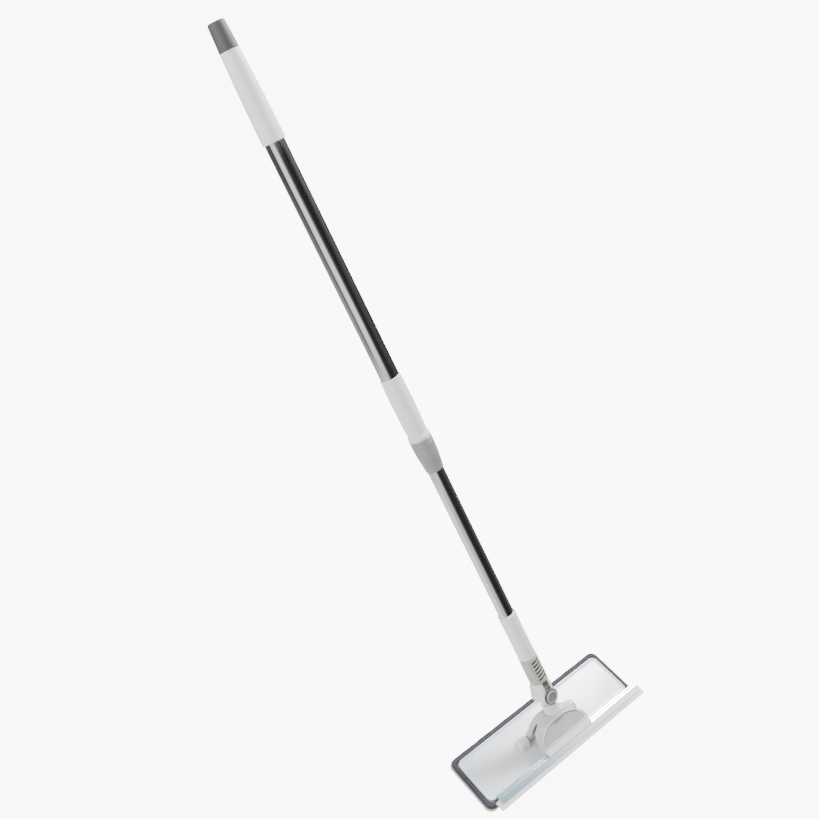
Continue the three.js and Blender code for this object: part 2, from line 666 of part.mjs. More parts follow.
// round neck with a tongue that turns between the fork's cheeks
function neckTongue() {
  const round = rodZ(NECK_R, neckFoot, neckShoulder);
  const tenon = rodZ(TENON_R, neckFoot - TENON_LENGTH, neckFoot + 1);
  const web = block(-NECK_R, NECK_R, -TONGUE_HALF, TONGUE_HALF, neckShoulder - 1, 0);
  const disc = rodY(tongueR, -TONGUE_HALF, TONGUE_HALF);
  const pocket = rodY(gearTipR + 0.7, -TONGUE_HALF - 1, gearPocketFloor);
  const bore = rodY(PIVOT_PIN_R + RUN, -TONGUE_HALF - 1, TONGUE_HALF + 1, 24);
  return cut(join(round, tenon, web, disc), pocket, bore);
}

// lugs of the lock ring, as radial bars in the x-z plane
function lugs(count, reach, width, y0, y1) {
  const bars = [];
  for (let i = 0; i < count / 2; i += 1) {
    const bar = block(-reach, reach, y0, y1, -width / 2, width / 2);
    bars.push(bar.rotateY((i / count) * 2 * Math.PI));
  }
  return bars;
}

// rounded housing on the fork's rear, behind the sweep of the neck
function rearHousing() {
  const round = rodY(forkR + HOUSING_OVER, housingFront, housingRear, 48);
  const top = HOUSING_TOP;
  const half = HOUSING_HALF;
  const shoulders = alongY([
    [-half, 0], [half, 0], [half, top - 7], [half - 2, top - 2.5], [half - 6, top],
    [6 - half, top], [2 - half, top - 2.5], [-half, top - 7],
  ], housingFront, housingRear);
  return join(round, shoulders);
}

// fork: shank that plugs into the pole, and two round cheeks
function knuckleFork() {
  const collar = rodZ(forkBodyR, bezelR + 0.7, ringBottom - GAP);
  const flats = block(-30, 30, -forkHalf, forkHalf, 0, bezelR + 1);
  const body = common(rodZ(forkBodyR, 0, bezelR + 1), flats);
  const barrel = rodY(forkR, -forkHalf, forkHalf, 48);
  const bridge = rodY(forkR - 1, TONGUE_HALF + RUN + 1, housingFront + 1, 48);
  const spigot = rodZ(spigotR, ringBottom - 2, spigotTop);
  const slotTop = tongueR + 0.8;
  const slot = block(-30, 30, -TONGUE_HALF - RUN, TONGUE_HALF + RUN, -30, slotTop);
  const lockBore = rodY(stemR + 0.4, -forkHalf - 1, -TONGUE_HALF);
  const lugSlots = lugs(GEAR_LUGS, gearTipR + 0.4, 3.4, gearFront - GAP, -TONGUE_HALF);
  const pinBore = rodY(PIVOT_PIN_R + GAP, TONGUE_HALF, housingRear + 1, 24);
  const latchPocket = block(-LATCH_HALF - GAP, LATCH_HALF + GAP, -spigotR - 1,
    -latchInner + LATCH_TRAVEL + 0.4, latchLow - GAP, latchTop + GAP);
  return cut(join(collar, body, barrel, bridge, rearHousing(), spigot),
    slot, lockBore, ...lugSlots, pinBore, latchPocket);
}

// toothed ring that locks cheek and tongue together; the button pushes it clear
function lockGear() {
  const ring = rodY(gearTipR - GEAR_TOOTH, gearFront, gearBack);
  const bars = lugs(GEAR_LUGS, gearTipR, 2.8, gearFront, gearBack);
  const well = rodY(LOCK_SPRING_R + 1.1, gearWellFront, gearBack + 1, 24);
  const bore = rodY(PIVOT_PIN_R + RUN, gearFront - 1, gearBack + 1, 24);
  return cut(join(ring, ...bars), well, bore);
}

function lockSpring() {
  const low = gearWellFront + GAP;
  const high = gearPocketFloor - GAP;
  return coil(LOCK_SPRING_R, WIRE, -high, -low, 2.5).rotateX(Math.PI / 2);
}

function pivotPin() {
  return rodY(PIVOT_PIN_R, gearFront + GAP, housingRear - GAP, 24);
}

function pivotCap() {
  const low = housingRear + GAP;
  return turned([
    [0, -low - PIVOT_CAP_THICK], [PIVOT_CAP_R - 1, -low - PIVOT_CAP_THICK],
    [PIVOT_CAP_R, -low - PIVOT_CAP_THICK + 0.7], [PIVOT_CAP_R, -low], [0, -low],
  ]).rotateX(Math.PI / 2);
}

// round push button: a wide face and a hollow-ended stem that bears on the lock ring
function angleButton() {
  const face = forkHalf + BUTTON_PROUD;
  const foot = GAP - gearFront;
  const pinRoom = PIVOT_PIN_R + RUN;
  const roomTop = foot + BUTTON_TRAVEL + GAP;
  return turned([
    [0, roomTop], [pinRoom, roomTop], [pinRoom, foot], [stemR, foot],
    [stemR, face - BUTTON_HEAD], [BUTTON_R, face - BUTTON_HEAD],
    [BUTTON_R, face - 0.5], [BUTTON_R - 0.6, face], [0, face],
  ]).rotateX(Math.PI / 2);
}

function buttonBezel() {
  const low = forkHalf + GAP;
  return turned([
    [BUTTON_R + 0.35, low], [bezelR, low], [bezelR, low + BEZEL_HEIGHT - 0.6],
    [bezelR - 0.5, low + BEZEL_HEIGHT], [BUTTON_R + 0.35, low + BEZEL_HEIGHT],
  ]).rotateX(Math.PI / 2);
}

place(neckGroup, 'neck_tongue', neckTongue(), WHITE);
place(poleGroup, 'knuckle_fork', knuckleFork(), WHITE);
place(poleGroup, 'lock_gear', lockGear(), NYLON);
place(poleGroup, 'lock_spring', lockSpring(), STEEL);
place(poleGroup, 'pivot_pin', pivotPin(), STEEL);
place(poleGroup, 'pivot_cap', pivotCap(), WHITE);
place(poleGroup, 'angle_button', angleButton(), BUTTON);
place(poleGroup, 'button_bezel', buttonBezel(), DARK);

// ================= ring and release button =================
// ring that joins the socket to the fork, with a window for the release button
function couplingRing() {
  const bore = spigotR + GAP;
  const tenonR = socketBoreR - GAP;
  const ring = turned([
    [bore, ringBottom], [ringR - 0.4, ringBottom], [ringR, ringBottom + 0.8],
    [ringTopR, ringTop - GAP - 0.5], [ringTopR - 0.4, ringTop - GAP],
    [tenonR, ringTop - GAP], [tenonR, ringTop + TENON_UP - GAP], [bore, ringTop + TENON_UP - GAP],
  ]);
  const window = block(-LATCH_HALF - GAP, LATCH_HALF + GAP, -ringR - 2, 0,
    latchLow - GAP, latchTop + GAP);
  return cut(ring, window);
}

// snap button: a curved face with ribs, pushed out through the window by its spring
function releaseButton() {
  const ribR = ringTopR + LATCH_RIB_HEIGHT;
  const pitch = LATCH_LENGTH / (LATCH_RIBS + 0.6);
  const profile = [[0, latchLow - 1], [ringTopR, latchLow - 1]];
  for (let i = 0; i < LATCH_RIBS; i += 1) {
    const middle = latchMiddle + (i - (LATCH_RIBS - 1) / 2) * pitch;
    profile.push(
      [ringTopR, middle - LATCH_RIB_WIDTH / 2], [ribR, middle - LATCH_RIB_WIDTH / 4],
      [ribR, middle + LATCH_RIB_WIDTH / 4], [ringTopR, middle + LATCH_RIB_WIDTH / 2],
    );
  }
  profile.push([ringTopR, latchTop + 1], [0, latchTop + 1]);
  const slice = block(-LATCH_HALF, LATCH_HALF, -ribR - 1, -latchInner, latchLow, latchTop);
  const well = rodY(LATCH_SPRING_R + 0.9, -latchInner - LATCH_WELL, -latchInner + 1, 20);
  return cut(common(turned(profile, 60), slice), well.translate(0, 0, latchMiddle));
}

function releaseSpring() {
  const inner = latchInner - LATCH_TRAVEL - 0.4 + GAP;
  const outer = latchInner + LATCH_WELL - GAP;
  const spring = coil(LATCH_SPRING_R, WIRE, inner, outer, 3.5).rotateX(Math.PI / 2);
  return spring.translate(0, 0, latchMiddle);
}

place(poleGroup, 'coupling_ring', couplingRing(), KHAKI);
place(poleGroup, 'release_button', releaseButton(), KHAKI);
place(poleGroup, 'release_spring', releaseSpring(), STEEL);

// ================= lower tube =================
function lowerSocket() {
  const tube = turned([
    [socketBoreR, ringTop], [socketR - 0.1, ringTop], [socketWaistR, ringTop + 20],
    [socketWaistR, ringTop + 45], [socketR, socketTop - 6], [socketR, socketTop - 0.7],
    [socketR - 0.6, socketTop], [socketBoreR, socketTop],
  ]);
  return cut(tube, rodX(SOCKET_PIN_R + GAP, -20, 20, 16).translate(0, 0, pinZ));
}

function socketPin() {
  const end = socketWaistR - GAP;
  return rodX(SOCKET_PIN_R, -end, end, 16).translate(0, 0, pinZ);
}

function lowerTube() {
  const tube = tubeZ(lowerTubeR, lowerTubeR - TUBE_WALL, tubeSeat, lowerTubeTop);
  return cut(tube, rodX(SOCKET_PIN_R + GAP, -20, 20, 16).translate(0, 0, pinZ));
}

// bush on the lower tube's top end; it slides in the upper tube and stops on the sleeve's shoulder
function tubePlug() {
  const spigot = lowerTubeR - TUBE_WALL - GAP;
  const head = UPPER_TUBE_R - TUBE_WALL - RUN;
  const low = lowerTubeTop + GAP;
  return turned([
    [0, low - PLUG_SPIGOT], [spigot - 1, low - PLUG_SPIGOT], [spigot, low - PLUG_SPIGOT + 1],
    [spigot, low], [head, low], [head, low + PLUG_LENGTH - 1], [head - 1, low + PLUG_LENGTH],
    [0, low + PLUG_LENGTH],
  ]);
}

place(poleGroup, 'lower_socket', lowerSocket(), WHITE);
place(poleGroup, 'socket_pin', socketPin(), STEEL);
place(poleGroup, 'lower_tube', lowerTube(), CHROME);
place(poleGroup, 'tube_plug', tubePlug(), NYLON);

// ================= twist lock =================
const noseLow = collarTop - THREAD_LENGTH;
const colletTop = noseLow - GAP;
const colletLow = colletTop - COLLET_LENGTH;
const collarAt = (z) => collarBottomR
  + (collarTopR - collarBottomR) * (z - collarBottom) / (collarTop - collarBottom);

// conical collar that screws up the sleeve's nose and squeezes the collet
function twistCollar() {
  const boreR = threadR + RUN;
  return turned([
    [slideBoreR, collarBottom], [collarBottomR - 0.8, collarBottom],
    [collarBottomR, collarBottom + 1.2], [collarAt(colletTop) + 0.6, colletTop],
    [collarTopR + 0.2, collarTop - 7], [collarTopR, collarTop - 0.8],
    [collarTopR - 0.6, collarTop], [boreR, collarTop], [boreR, colletTop],
    [collarAt(colletLow) - 0.9, colletLow - GAP], [slideBoreR, colletLow - GAP],
  ]);
}

// split cone that grips the lower tube
function clampCollet() {
  const cone = turned([
    [slideBoreR, colletLow], [collarAt(colletLow) - 0.9 - GAP, colletLow],
    [threadR - GAP, colletTop - GAP], [slideBoreR, colletTop - GAP],
  ]);
  return cut(cone, block(0, 20, -COLLET_SLOT / 2, COLLET_SLOT / 2, colletLow - 1, colletTop + 1));
}

// sleeve on the upper tube's lower end, with a rim and a threaded nose
function lockSleeve() {
  const rimLow = collarTop + GAP;
  const tubeBore = UPPER_TUBE_R + GAP;
  const shoulder = sleeveTop - TUBE_IN_SLEEVE - GAP;
  const rim = UPPER_TUBE_R + SLEEVE_RIM_WALL;
  const waist = UPPER_TUBE_R + SLEEVE_WAIST_WALL;
  const belly = UPPER_TUBE_R + SLEEVE_WALL;
  const mouth = UPPER_TUBE_R + SLEEVE_TOP_WALL;
  return turned([
    [slideBoreR, noseLow], [threadR, noseLow], [threadR, rimLow], [rim, rimLow],
    [rim + 0.1, rimLow + 4], [rim - 0.5, rimLow + 5.4], [waist, rimLow + 9],
    [belly - 0.4, rimLow + 22], [belly, rimLow + 42], [belly, sleeveTop - 32],
    [mouth, sleeveTop - 0.8], [mouth - 0.5, sleeveTop], [tubeBore, sleeveTop],
    [tubeBore, shoulder], [slideBoreR, shoulder],
  ]);
}

place(poleGroup, 'twist_collar', twistCollar(), COLLAR);
place(poleGroup, 'clamp_collet', clampCollet(), NYLON);
place(poleGroup, 'lock_sleeve', lockSleeve(), WHITE);

// ================= upper tube and handle =================
function upperTube() {
  return tubeZ(UPPER_TUBE_R, UPPER_TUBE_R - TUBE_WALL, sleeveTop - TUBE_IN_SLEEVE,
    gripBottom + GRIP_BORE_DEPTH - GAP);
}

// tapered grip, widest at its mouth
function handleGrip() {
  const tubeBore = UPPER_TUBE_R + GAP;
  const seat = gripBottom + GRIP_BORE_DEPTH;
  const hollow = GRIP_TOP_R - GRIP_WALL;
  const gripMouthR = UPPER_TUBE_R + GRIP_MOUTH_WALL;
  const taper = [[0.15, 0.06], [0.4, 0.22], [0.65, 0.5], [0.85, 0.82]].map(([along, share]) => [
    gripMouthR - share * (gripMouthR - GRIP_TOP_R), gripBottom + along * GRIP_LENGTH,
  ]);
  return turned([
    [tubeBore, gripBottom], [gripMouthR - 1, gripBottom], [gripMouthR - 0.3, gripBottom + 0.6],
    [gripMouthR, gripBottom + 3], ...taper, [GRIP_TOP_R, gripTop], [hollow, gripTop],
    [hollow, seat], [tubeBore, seat],
  ]);
}

// soft cap that plugs the grip's top end
function endCap() {
  const low = gripTop + GAP;
  const plug = GRIP_TOP_R - GRIP_WALL - GAP;
  const profile = [[0, low - CAP_PLUG], [plug, low - CAP_PLUG], [plug, low], [GRIP_TOP_R, low]];
  for (let i = 0; i <= 5; i += 1) {
    const angle = (i / 5) * Math.PI / 2;
    profile.push([CAP_TOP_R - CAP_ROUND * (1 - Math.cos(angle)),
      capTop - CAP_ROUND * (1 - Math.sin(angle))]);
  }
  return turned([...profile, [0, capTop]]);
}

place(poleGroup, 'upper_tube', upperTube(), CHROME);
place(poleGroup, 'handle_grip', handleGrip(), WHITE);
place(poleGroup, 'end_cap', endCap(), CHARCOAL);

export default tool;
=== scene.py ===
"""Looks of a two-in-one window tool: a microfibre pad plate and a squeegee on a telescopic pole.

Metres in the finished meshes. Sections follow the tool as it is put together, from the pad to the
end cap. A value is in millimetres where its name ends in _MM.
"""
import math

import bmesh
import bpy
import numpy as np
from mathutils import Matrix, Vector


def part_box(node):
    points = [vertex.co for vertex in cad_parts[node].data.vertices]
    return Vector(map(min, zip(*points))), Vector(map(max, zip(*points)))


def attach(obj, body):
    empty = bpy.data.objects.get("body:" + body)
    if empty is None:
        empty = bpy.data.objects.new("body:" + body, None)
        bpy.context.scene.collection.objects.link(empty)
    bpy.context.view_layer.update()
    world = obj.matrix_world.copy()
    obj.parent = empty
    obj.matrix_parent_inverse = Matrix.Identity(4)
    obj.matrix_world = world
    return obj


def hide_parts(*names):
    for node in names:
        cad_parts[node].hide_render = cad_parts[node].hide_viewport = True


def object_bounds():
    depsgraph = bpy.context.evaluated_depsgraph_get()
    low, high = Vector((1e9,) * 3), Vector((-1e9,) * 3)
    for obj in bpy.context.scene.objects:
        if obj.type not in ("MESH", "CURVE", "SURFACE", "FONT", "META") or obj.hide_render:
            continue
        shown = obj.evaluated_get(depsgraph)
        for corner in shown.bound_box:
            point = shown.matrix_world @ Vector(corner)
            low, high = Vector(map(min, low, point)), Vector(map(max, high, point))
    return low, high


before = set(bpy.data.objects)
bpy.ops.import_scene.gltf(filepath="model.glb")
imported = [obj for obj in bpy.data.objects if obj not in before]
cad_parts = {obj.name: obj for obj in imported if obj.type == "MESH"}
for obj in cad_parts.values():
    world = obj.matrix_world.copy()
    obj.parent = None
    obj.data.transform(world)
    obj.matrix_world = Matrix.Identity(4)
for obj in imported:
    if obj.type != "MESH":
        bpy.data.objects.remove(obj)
cad_low, cad_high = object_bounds()

# ---------------------------------------------------------------- camera, floor and light
# The tool stands with its pad on a pale studio floor, seen from above its left front.
# Two soft boxes and a light room light it; dark walls and bright windows only show in the steel.
CAMERA_PLACE = (-0.63007, -0.39079, 1.32359)
CAMERA_RIGHT = (0.7752, -0.6310, 0.0316)
CAMERA_UP = (0.4195, 0.5515, 0.7210)
LENS_MM = 42.17
SENSOR_MM = 36.0
FLOOR_GAP = 0.0006
FLOOR_HALF = 30.0
FLOOR_WHITE = (0.9, 0.905, 0.91, 1)
FLOOR_GLOW = 14.0
FLOOR_GLOW_SHARE = 0.62
SKY_WHITE = (0.965, 0.968, 0.97, 1)
SKY_GLOW = 9.0
ROOM_LIGHT = 1.25
KEY_WATTS = 52
BACK_WATTS = 48
# the pole's line, the way across it, and the way out of its middle towards the front
TUBE_LINE = (-0.125333, 0.544694, 0.829217)
TUBE_SIDE = (0.882, -0.321, 0.344)
TUBE_FRONT = (-0.454, -0.775, 0.440)
# how steeply a mirrored ray goes down the pole where one set of bands passes into the next
HIGH_TO_MIDDLE = (0.02, 0.26)
MIDDLE_TO_LOW = (0.32, 0.42)
TO_CEILING = (-0.06, -0.30)
CEILING = [(0.0, (0.9, 1.0, 1.05, 1)), (0.33, (0.38, 0.62, 0.76, 1)), (0.40, (0.60, 0.86, 1.0, 1)),
           (0.45, (2.2, 2.3, 2.35, 1)), (0.60, (3.0, 3.0, 3.0, 1))]
BANDS_HIGH = [(0.0, 0.20), (0.06, 0.085), (0.15, 0.075), (0.20, 0.03), (0.235, 0.25), (0.275, 0.95),
              (0.40, 0.95), (0.455, 0.16), (0.53, 0.025), (0.72, 0.010), (0.80, 0.06), (0.90, 0.15),
              (0.955, 0.06), (1.0, 0.20)]
BANDS_MIDDLE = [(0.0, 0.42), (0.06, 0.34), (0.14, 0.30), (0.20, 0.09), (0.235, 0.25), (0.285, 0.95),
                (0.44, 0.93), (0.495, 0.16), (0.55, 0.035), (0.66, 0.012), (0.73, 0.045), (0.86, 0.06),
                (0.955, 0.04), (1.0, 0.10)]
BANDS_LOW = [(0.0, 0.95), (0.05, 1.05), (0.20, 1.10), (0.25, 0.95), (0.31, 0.58), (0.37, 0.54),
             (0.41, 0.72), (0.46, 0.26), (0.53, 0.035), (0.66, 0.016), (0.82, 0.03), (0.89, 0.08),
             (0.96, 0.10), (1.0, 0.22)]

right = Vector(CAMERA_RIGHT).normalized()
up = (Vector(CAMERA_UP) - right * right.dot(Vector(CAMERA_UP))).normalized()
back = right.cross(up)
camera = bpy.data.objects.new("camera", bpy.data.cameras.new("camera"))
bpy.context.scene.collection.objects.link(camera)
camera.matrix_world = Matrix((
    (right.x, up.x, back.x, CAMERA_PLACE[0]), (right.y, up.y, back.y, CAMERA_PLACE[1]),
    (right.z, up.z, back.z, CAMERA_PLACE[2]), (0, 0, 0, 1),
))
camera.data.lens = LENS_MM
camera.data.sensor_width = SENSOR_MM
camera.data.clip_start = 0.01
bpy.context.scene.camera = camera


class Wire:
    """An output of a shader node. Arithmetic on wires adds Math nodes; Wire.add makes any other node."""

    def __init__(self, socket):
        self.socket = socket

    @staticmethod
    def add(tree, kind, settings=None, inputs=None, output=0):
        """Adds a node: its settings first, then values or links by the inputs' names or numbers."""
        node = tree.nodes.new(kind)
        for name, value in (settings or {}).items():
            if name == "stops":
                ramp = node.color_ramp
                while len(ramp.elements) < len(value):
                    ramp.elements.new(0.5)
                for element, (place, colour) in zip(ramp.elements, value):
                    element.position = place
                    element.color = colour if hasattr(colour, "__len__") else (colour,) * 3 + (1,)
            else:
                setattr(node, name, value)
        for name, value in (inputs or {}).items():
            if isinstance(value, Wire):
                tree.links.new(value.socket, node.inputs[name])
            else:
                node.inputs[name].default_value = value
        return Wire(node.outputs[output])

    def math(self, operation, *values):
        """A Math node on this wire and the values, in their order."""
        tree = self.socket.id_data
        return Wire.add(tree, "ShaderNodeMath", {"operation": operation}, dict(enumerate(values)))

    def __add__(self, other):
        return self.math("ADD", self, other)

    __radd__ = __add__

    def __sub__(self, other):
        return self.math("SUBTRACT", self, other)

    def __rsub__(self, other):
        return self.math("SUBTRACT", other, self)

    def __mul__(self, other):
        return self.math("MULTIPLY", self, other)

    __rmul__ = __mul__

    def __truediv__(self, other):
        return self.math("DIVIDE", self, other)

    def __gt__(self, other):
        return self.math("GREATER_THAN", self, other)


def blend_colours(tree, share, first, second):
    """The first colour where share is 0, the second where it is 1."""
    mix = tree.nodes.new("ShaderNodeMix")
    mix.data_type = "RGBA"
    for number, value in ((0, share), (6, first), (7, second)):
        if isinstance(value, Wire):
            tree.links.new(value.socket, mix.inputs[number])
        else:
            mix.inputs[number].default_value = (*value, 1) if number else value
    return Wire(mix.outputs[2])


def studio_world():
    """A pale sky to the camera, a light room for shading, and for reflections a room of upright bands
    round the pole: pale wall, thin dark line, bright window, dark wall with a grey streak in it.

    For a ray's direction, the angle round the pole's line and half of it give the place across a
    round tube where the camera sees it, from -1 at the left edge to 1 at the right.
    """
    world = bpy.data.worlds.new("studio")
    bpy.context.scene.world = world
    world.use_nodes = True
    tree = world.node_tree
    tree.nodes.clear()
    ray = Wire.add(tree, "ShaderNodeTexCoord", output=0)

    def along(direction):
        return Wire.add(tree, "ShaderNodeVectorMath", {"operation": "DOT_PRODUCT"},
                        {0: ray, 1: direction}, output=1)

    half_turn = along(TUBE_SIDE).math("ARCTAN2", along(TUBE_SIDE), along(TUBE_FRONT)) * 0.5
    across = half_turn.math("SINE", half_turn) * 0.5 + 0.5
    bands = [Wire.add(tree, "ShaderNodeValToRGB", {"stops": stops}, {0: across})
             for stops in (BANDS_HIGH, BANDS_MIDDLE, BANDS_LOW)]
    drop = along(TUBE_LINE) * -1

    def passed(span):
        return Wire.add(tree, "ShaderNodeMapRange", None, {0: drop, 1: span[0], 2: span[1]})

    room = blend_colours(tree, passed(HIGH_TO_MIDDLE), bands[0], bands[1])
    room = blend_colours(tree, passed(MIDDLE_TO_LOW), room, bands[2])
    path = tree.nodes.new("ShaderNodeLightPath")
    parts = tree.nodes.new("ShaderNodeSeparateXYZ")
    tree.links.new(ray.socket, parts.inputs[0])
    height = Wire(parts.outputs[2])
    ceiling = Wire.add(tree, "ShaderNodeValToRGB", {"stops": CEILING}, {0: Wire(parts.outputs[0])})
    room = blend_colours(tree, passed(TO_CEILING), room, ceiling)
    walls = Wire.add(tree, "ShaderNodeValToRGB", {"stops": [
        (0.0, (0.50, 0.50, 0.50, 1)), (0.42, (0.72, 0.72, 0.71, 1)), (1.0, (1.0, 1.0, 1.0, 1)),
    ]}, {0: height * 0.5 + 0.5})
    lit = blend_colours(tree, Wire(path.outputs["Is Glossy Ray"]), walls, room)
    seen = Wire.add(tree, "ShaderNodeBackground", inputs={"Color": SKY_WHITE, "Strength": SKY_GLOW})
    light = Wire.add(tree, "ShaderNodeBackground", inputs={"Color": lit, "Strength": ROOM_LIGHT})
    mixed = Wire.add(tree, "ShaderNodeMixShader", None,
                     {0: Wire(path.outputs["Is Camera Ray"]), 1: light, 2: seen})
    out = tree.nodes.new("ShaderNodeOutputWorld")
    tree.links.new(mixed.socket, out.inputs[0])


studio_world()


def soft_box(name, place, aim, size, power):
    """A rectangular lamp at a place, turned towards a point."""
    lamp = bpy.data.lights.new(name, "AREA")
    lamp.shape = "RECTANGLE"
    lamp.size, lamp.size_y = size
    lamp.energy = power
    holder = bpy.data.objects.new(name, lamp)
    bpy.context.scene.collection.objects.link(holder)
    direction = Vector(aim) - Vector(place)
    facing = direction.to_track_quat("-Z", "Y").to_matrix().to_4x4()
    holder.matrix_world = Matrix.Translation(place) @ facing


soft_box("key_box", (-1.7, 0.5, 1.7), (0, 0.25, 0.4), (1.2, 1.2), KEY_WATTS)
soft_box("back_box", (0.85, 0.55, 1.35), (0, 0, 0), (0.28, 0.28), BACK_WATTS)

floor_mesh = bpy.data.meshes.new("floor")
floor_low = cad_low.z - FLOOR_GAP
floor_mesh.from_pydata([(sx * FLOOR_HALF, sy * FLOOR_HALF, floor_low)
                        for sx, sy in ((-1, -1), (1, -1), (1, 1), (-1, 1))], [], [(0, 1, 2, 3)])
floor = bpy.data.objects.new("floor", floor_mesh)
floor.visible_glossy = False
bpy.context.scene.collection.objects.link(floor)
floor_paint = bpy.data.materials.new("floor_paint")
floor_paint.use_nodes = True
floor_tree = floor_paint.node_tree
floor_shader = floor_tree.nodes["Principled BSDF"]
floor_shader.inputs["Base Color"].default_value = FLOOR_WHITE
floor_shader.inputs["Roughness"].default_value = 0.6
floor_glow = Wire.add(floor_tree, "ShaderNodeEmission", None,
                      {"Color": (1, 1, 1, 1), "Strength": FLOOR_GLOW})
floor_eye = Wire.add(floor_tree, "ShaderNodeLightPath", output=0) * FLOOR_GLOW_SHARE
floor_look = Wire.add(floor_tree, "ShaderNodeMixShader", None,
                      {0: floor_eye, 1: Wire(floor_shader.outputs[0]), 2: floor_glow})
floor_tree.links.new(floor_look.socket, floor_tree.nodes["Material Output"].inputs[0])
floor_mesh.materials.append(floor_paint)

# ---------------------------------------------------------------- microfibre pad
# A washable pad of short cream microfibre pile, tufted on a woven backing and cut with round corners.
# It hangs on hook strips under the plate, and its edge bulges a little below the bound hem.
PILE_STEP_MM = 0.82
PILE_EDGE_ROUND_MM = 1.7
PILE_CORNER_MM = 7.0
BULGE_CORNER_MM = 11.5
PILE_BULGE_MM = (151.6, 46.6, 3.7)
TUFT_PITCH_MM = 2.4
TUFT_DEPTH_MM = 0.75
PILE_CREAM = (0.80, 0.76, 0.66)
# the colour of the painted shade in the hollows between tufts
PILE_SHADE = (0.56, 0.52, 0.44)


def skin_of(field, low, high, step):
    """Points and quads of the closed surface where field(x, y, z) is zero, inside a box.

    Each grid cell that the surface crosses gives one point, the mean of the crossings on its edges,
    which then moves onto the surface along the field's slope. Each grid edge that the surface
    crosses gives one quad, between the four cells round it, facing the positive side.
    """
    axes = [np.arange(a, b + step, step) for a, b in zip(low, high)]
    value = field(*np.meshgrid(*axes, indexing="ij")).astype(np.float32)
    cells = np.array(value.shape) - 1
    stride = np.array([cells[1] * cells[2], cells[2], 1])
    sums = np.zeros((3, cells.prod()))
    count = np.zeros(cells.prod())
    rings = []
    for d in range(3):
        e, g = (d + 1) % 3, (d + 2) % 3
        start = np.take(value, range(cells[d]), axis=d)
        stop = np.take(value, range(1, cells[d] + 1), axis=d)
        crossed = (start < 0) != (stop < 0)
        corner = np.argwhere(crossed)
        a, b = start[crossed], stop[crossed]
        inner = ((corner[:, [e, g]] > 0) & (corner[:, [e, g]] < cells[[e, g]])).all(1)
        corner, a, b = corner[inner], a[inner], b[inner]
        place = corner.astype(float)
        place[:, d] += a / (a - b)
        base = corner @ stride
        ring = np.stack([base - stride[e] - stride[g], base - stride[g], base, base - stride[e]], 1)
        for cell in ring.T:
            count += np.bincount(cell, minlength=count.size)
            for i in range(3):
                sums[i] += np.bincount(cell, place[:, i], count.size)
        rings.append(np.where((a < 0)[:, None], ring, ring[:, ::-1]))
    used = count > 0
    number = np.cumsum(used) - 1
    points = (sums[:, used] / count[used]).T * step + np.array([axis[0] for axis in axes])
    nudge = np.eye(3) * 0.04
    for _ in range(3):
        slope = np.stack([
            (field(*(points + n).T) - field(*(points - n).T)) / 0.08 for n in nudge
        ], 1)
        size = np.maximum((slope ** 2).sum(1), 0.04)
        move = field(*points.T)[:, None] * slope / size[:, None]
        length = np.linalg.norm(move, axis=1, keepdims=True)
        points -= move * np.minimum(1, 0.5 * step / np.maximum(length, 1e-9))
    return points, number[np.concatenate(rings)]


def put(name, points_mm, faces, material, body, stands_for=(), places=None, sharp=None, ends=False):
    """Makes a smooth piece of points in millimetres and quads, with an optional place per quad corner
    as its UV map, and lets it ride on its body in place of the listed CAD nodes. Where ends is set,
    points that coincide are merged and open ends filled; edges bent more than sharp degrees stay crisp."""
    mesh = bpy.data.meshes.new(name)
    mesh.vertices.add(len(points_mm))
    mesh.vertices.foreach_set("co", (np.asarray(points_mm) * 0.001).astype(np.float32).ravel())
    mesh.loops.add(faces.size)
    mesh.loops.foreach_set("vertex_index", faces.astype(np.int32).ravel())
    mesh.polygons.add(len(faces))
    mesh.polygons.foreach_set("loop_start", np.arange(len(faces), dtype=np.int32) * faces.shape[1])
    mesh.polygons.foreach_set("use_smooth", np.ones(len(faces), bool))
    if places is not None:
        mesh.uv_layers.new(name="UVMap").data.foreach_set("uv", places.astype(np.float32).ravel())
    mesh.update(calc_edges=True)
    if ends:
        work = bmesh.new()
        work.from_mesh(mesh)
        bmesh.ops.remove_doubles(work, verts=work.verts, dist=1e-7)
        bmesh.ops.holes_fill(work, edges=[edge for edge in work.edges if edge.is_boundary])
        bmesh.ops.recalc_face_normals(work, faces=work.faces)
        for face in work.faces:
            face.smooth = True
        work.to_mesh(mesh)
        work.free()
    mesh.validate()
    if sharp:
        mesh.set_sharp_from_angle(angle=math.radians(sharp))
    mesh.materials.append(material)
    piece = bpy.data.objects.new(name, mesh)
    bpy.context.scene.collection.objects.link(piece)
    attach(piece, body)
    if stands_for:
        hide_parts(*stands_for)
    return piece


def rounded_box(x, y, z, half, corner, edge):
    """Signed distance to an upright slab centred at the origin: half sizes, plan corner, edge round."""
    plan = np.maximum(np.hypot(np.maximum(np.abs(x) - half[0] + corner, 0),
                               np.maximum(np.abs(y) - half[1] + corner, 0)) - corner,
                      np.maximum(np.abs(x) - half[0], np.abs(y) - half[1]))
    across = plan + edge
    up_down = np.abs(z) - half[2] + edge
    return (np.minimum(np.maximum(across, up_down), 0)
            + np.hypot(np.maximum(across, 0), np.maximum(up_down, 0)) - edge)


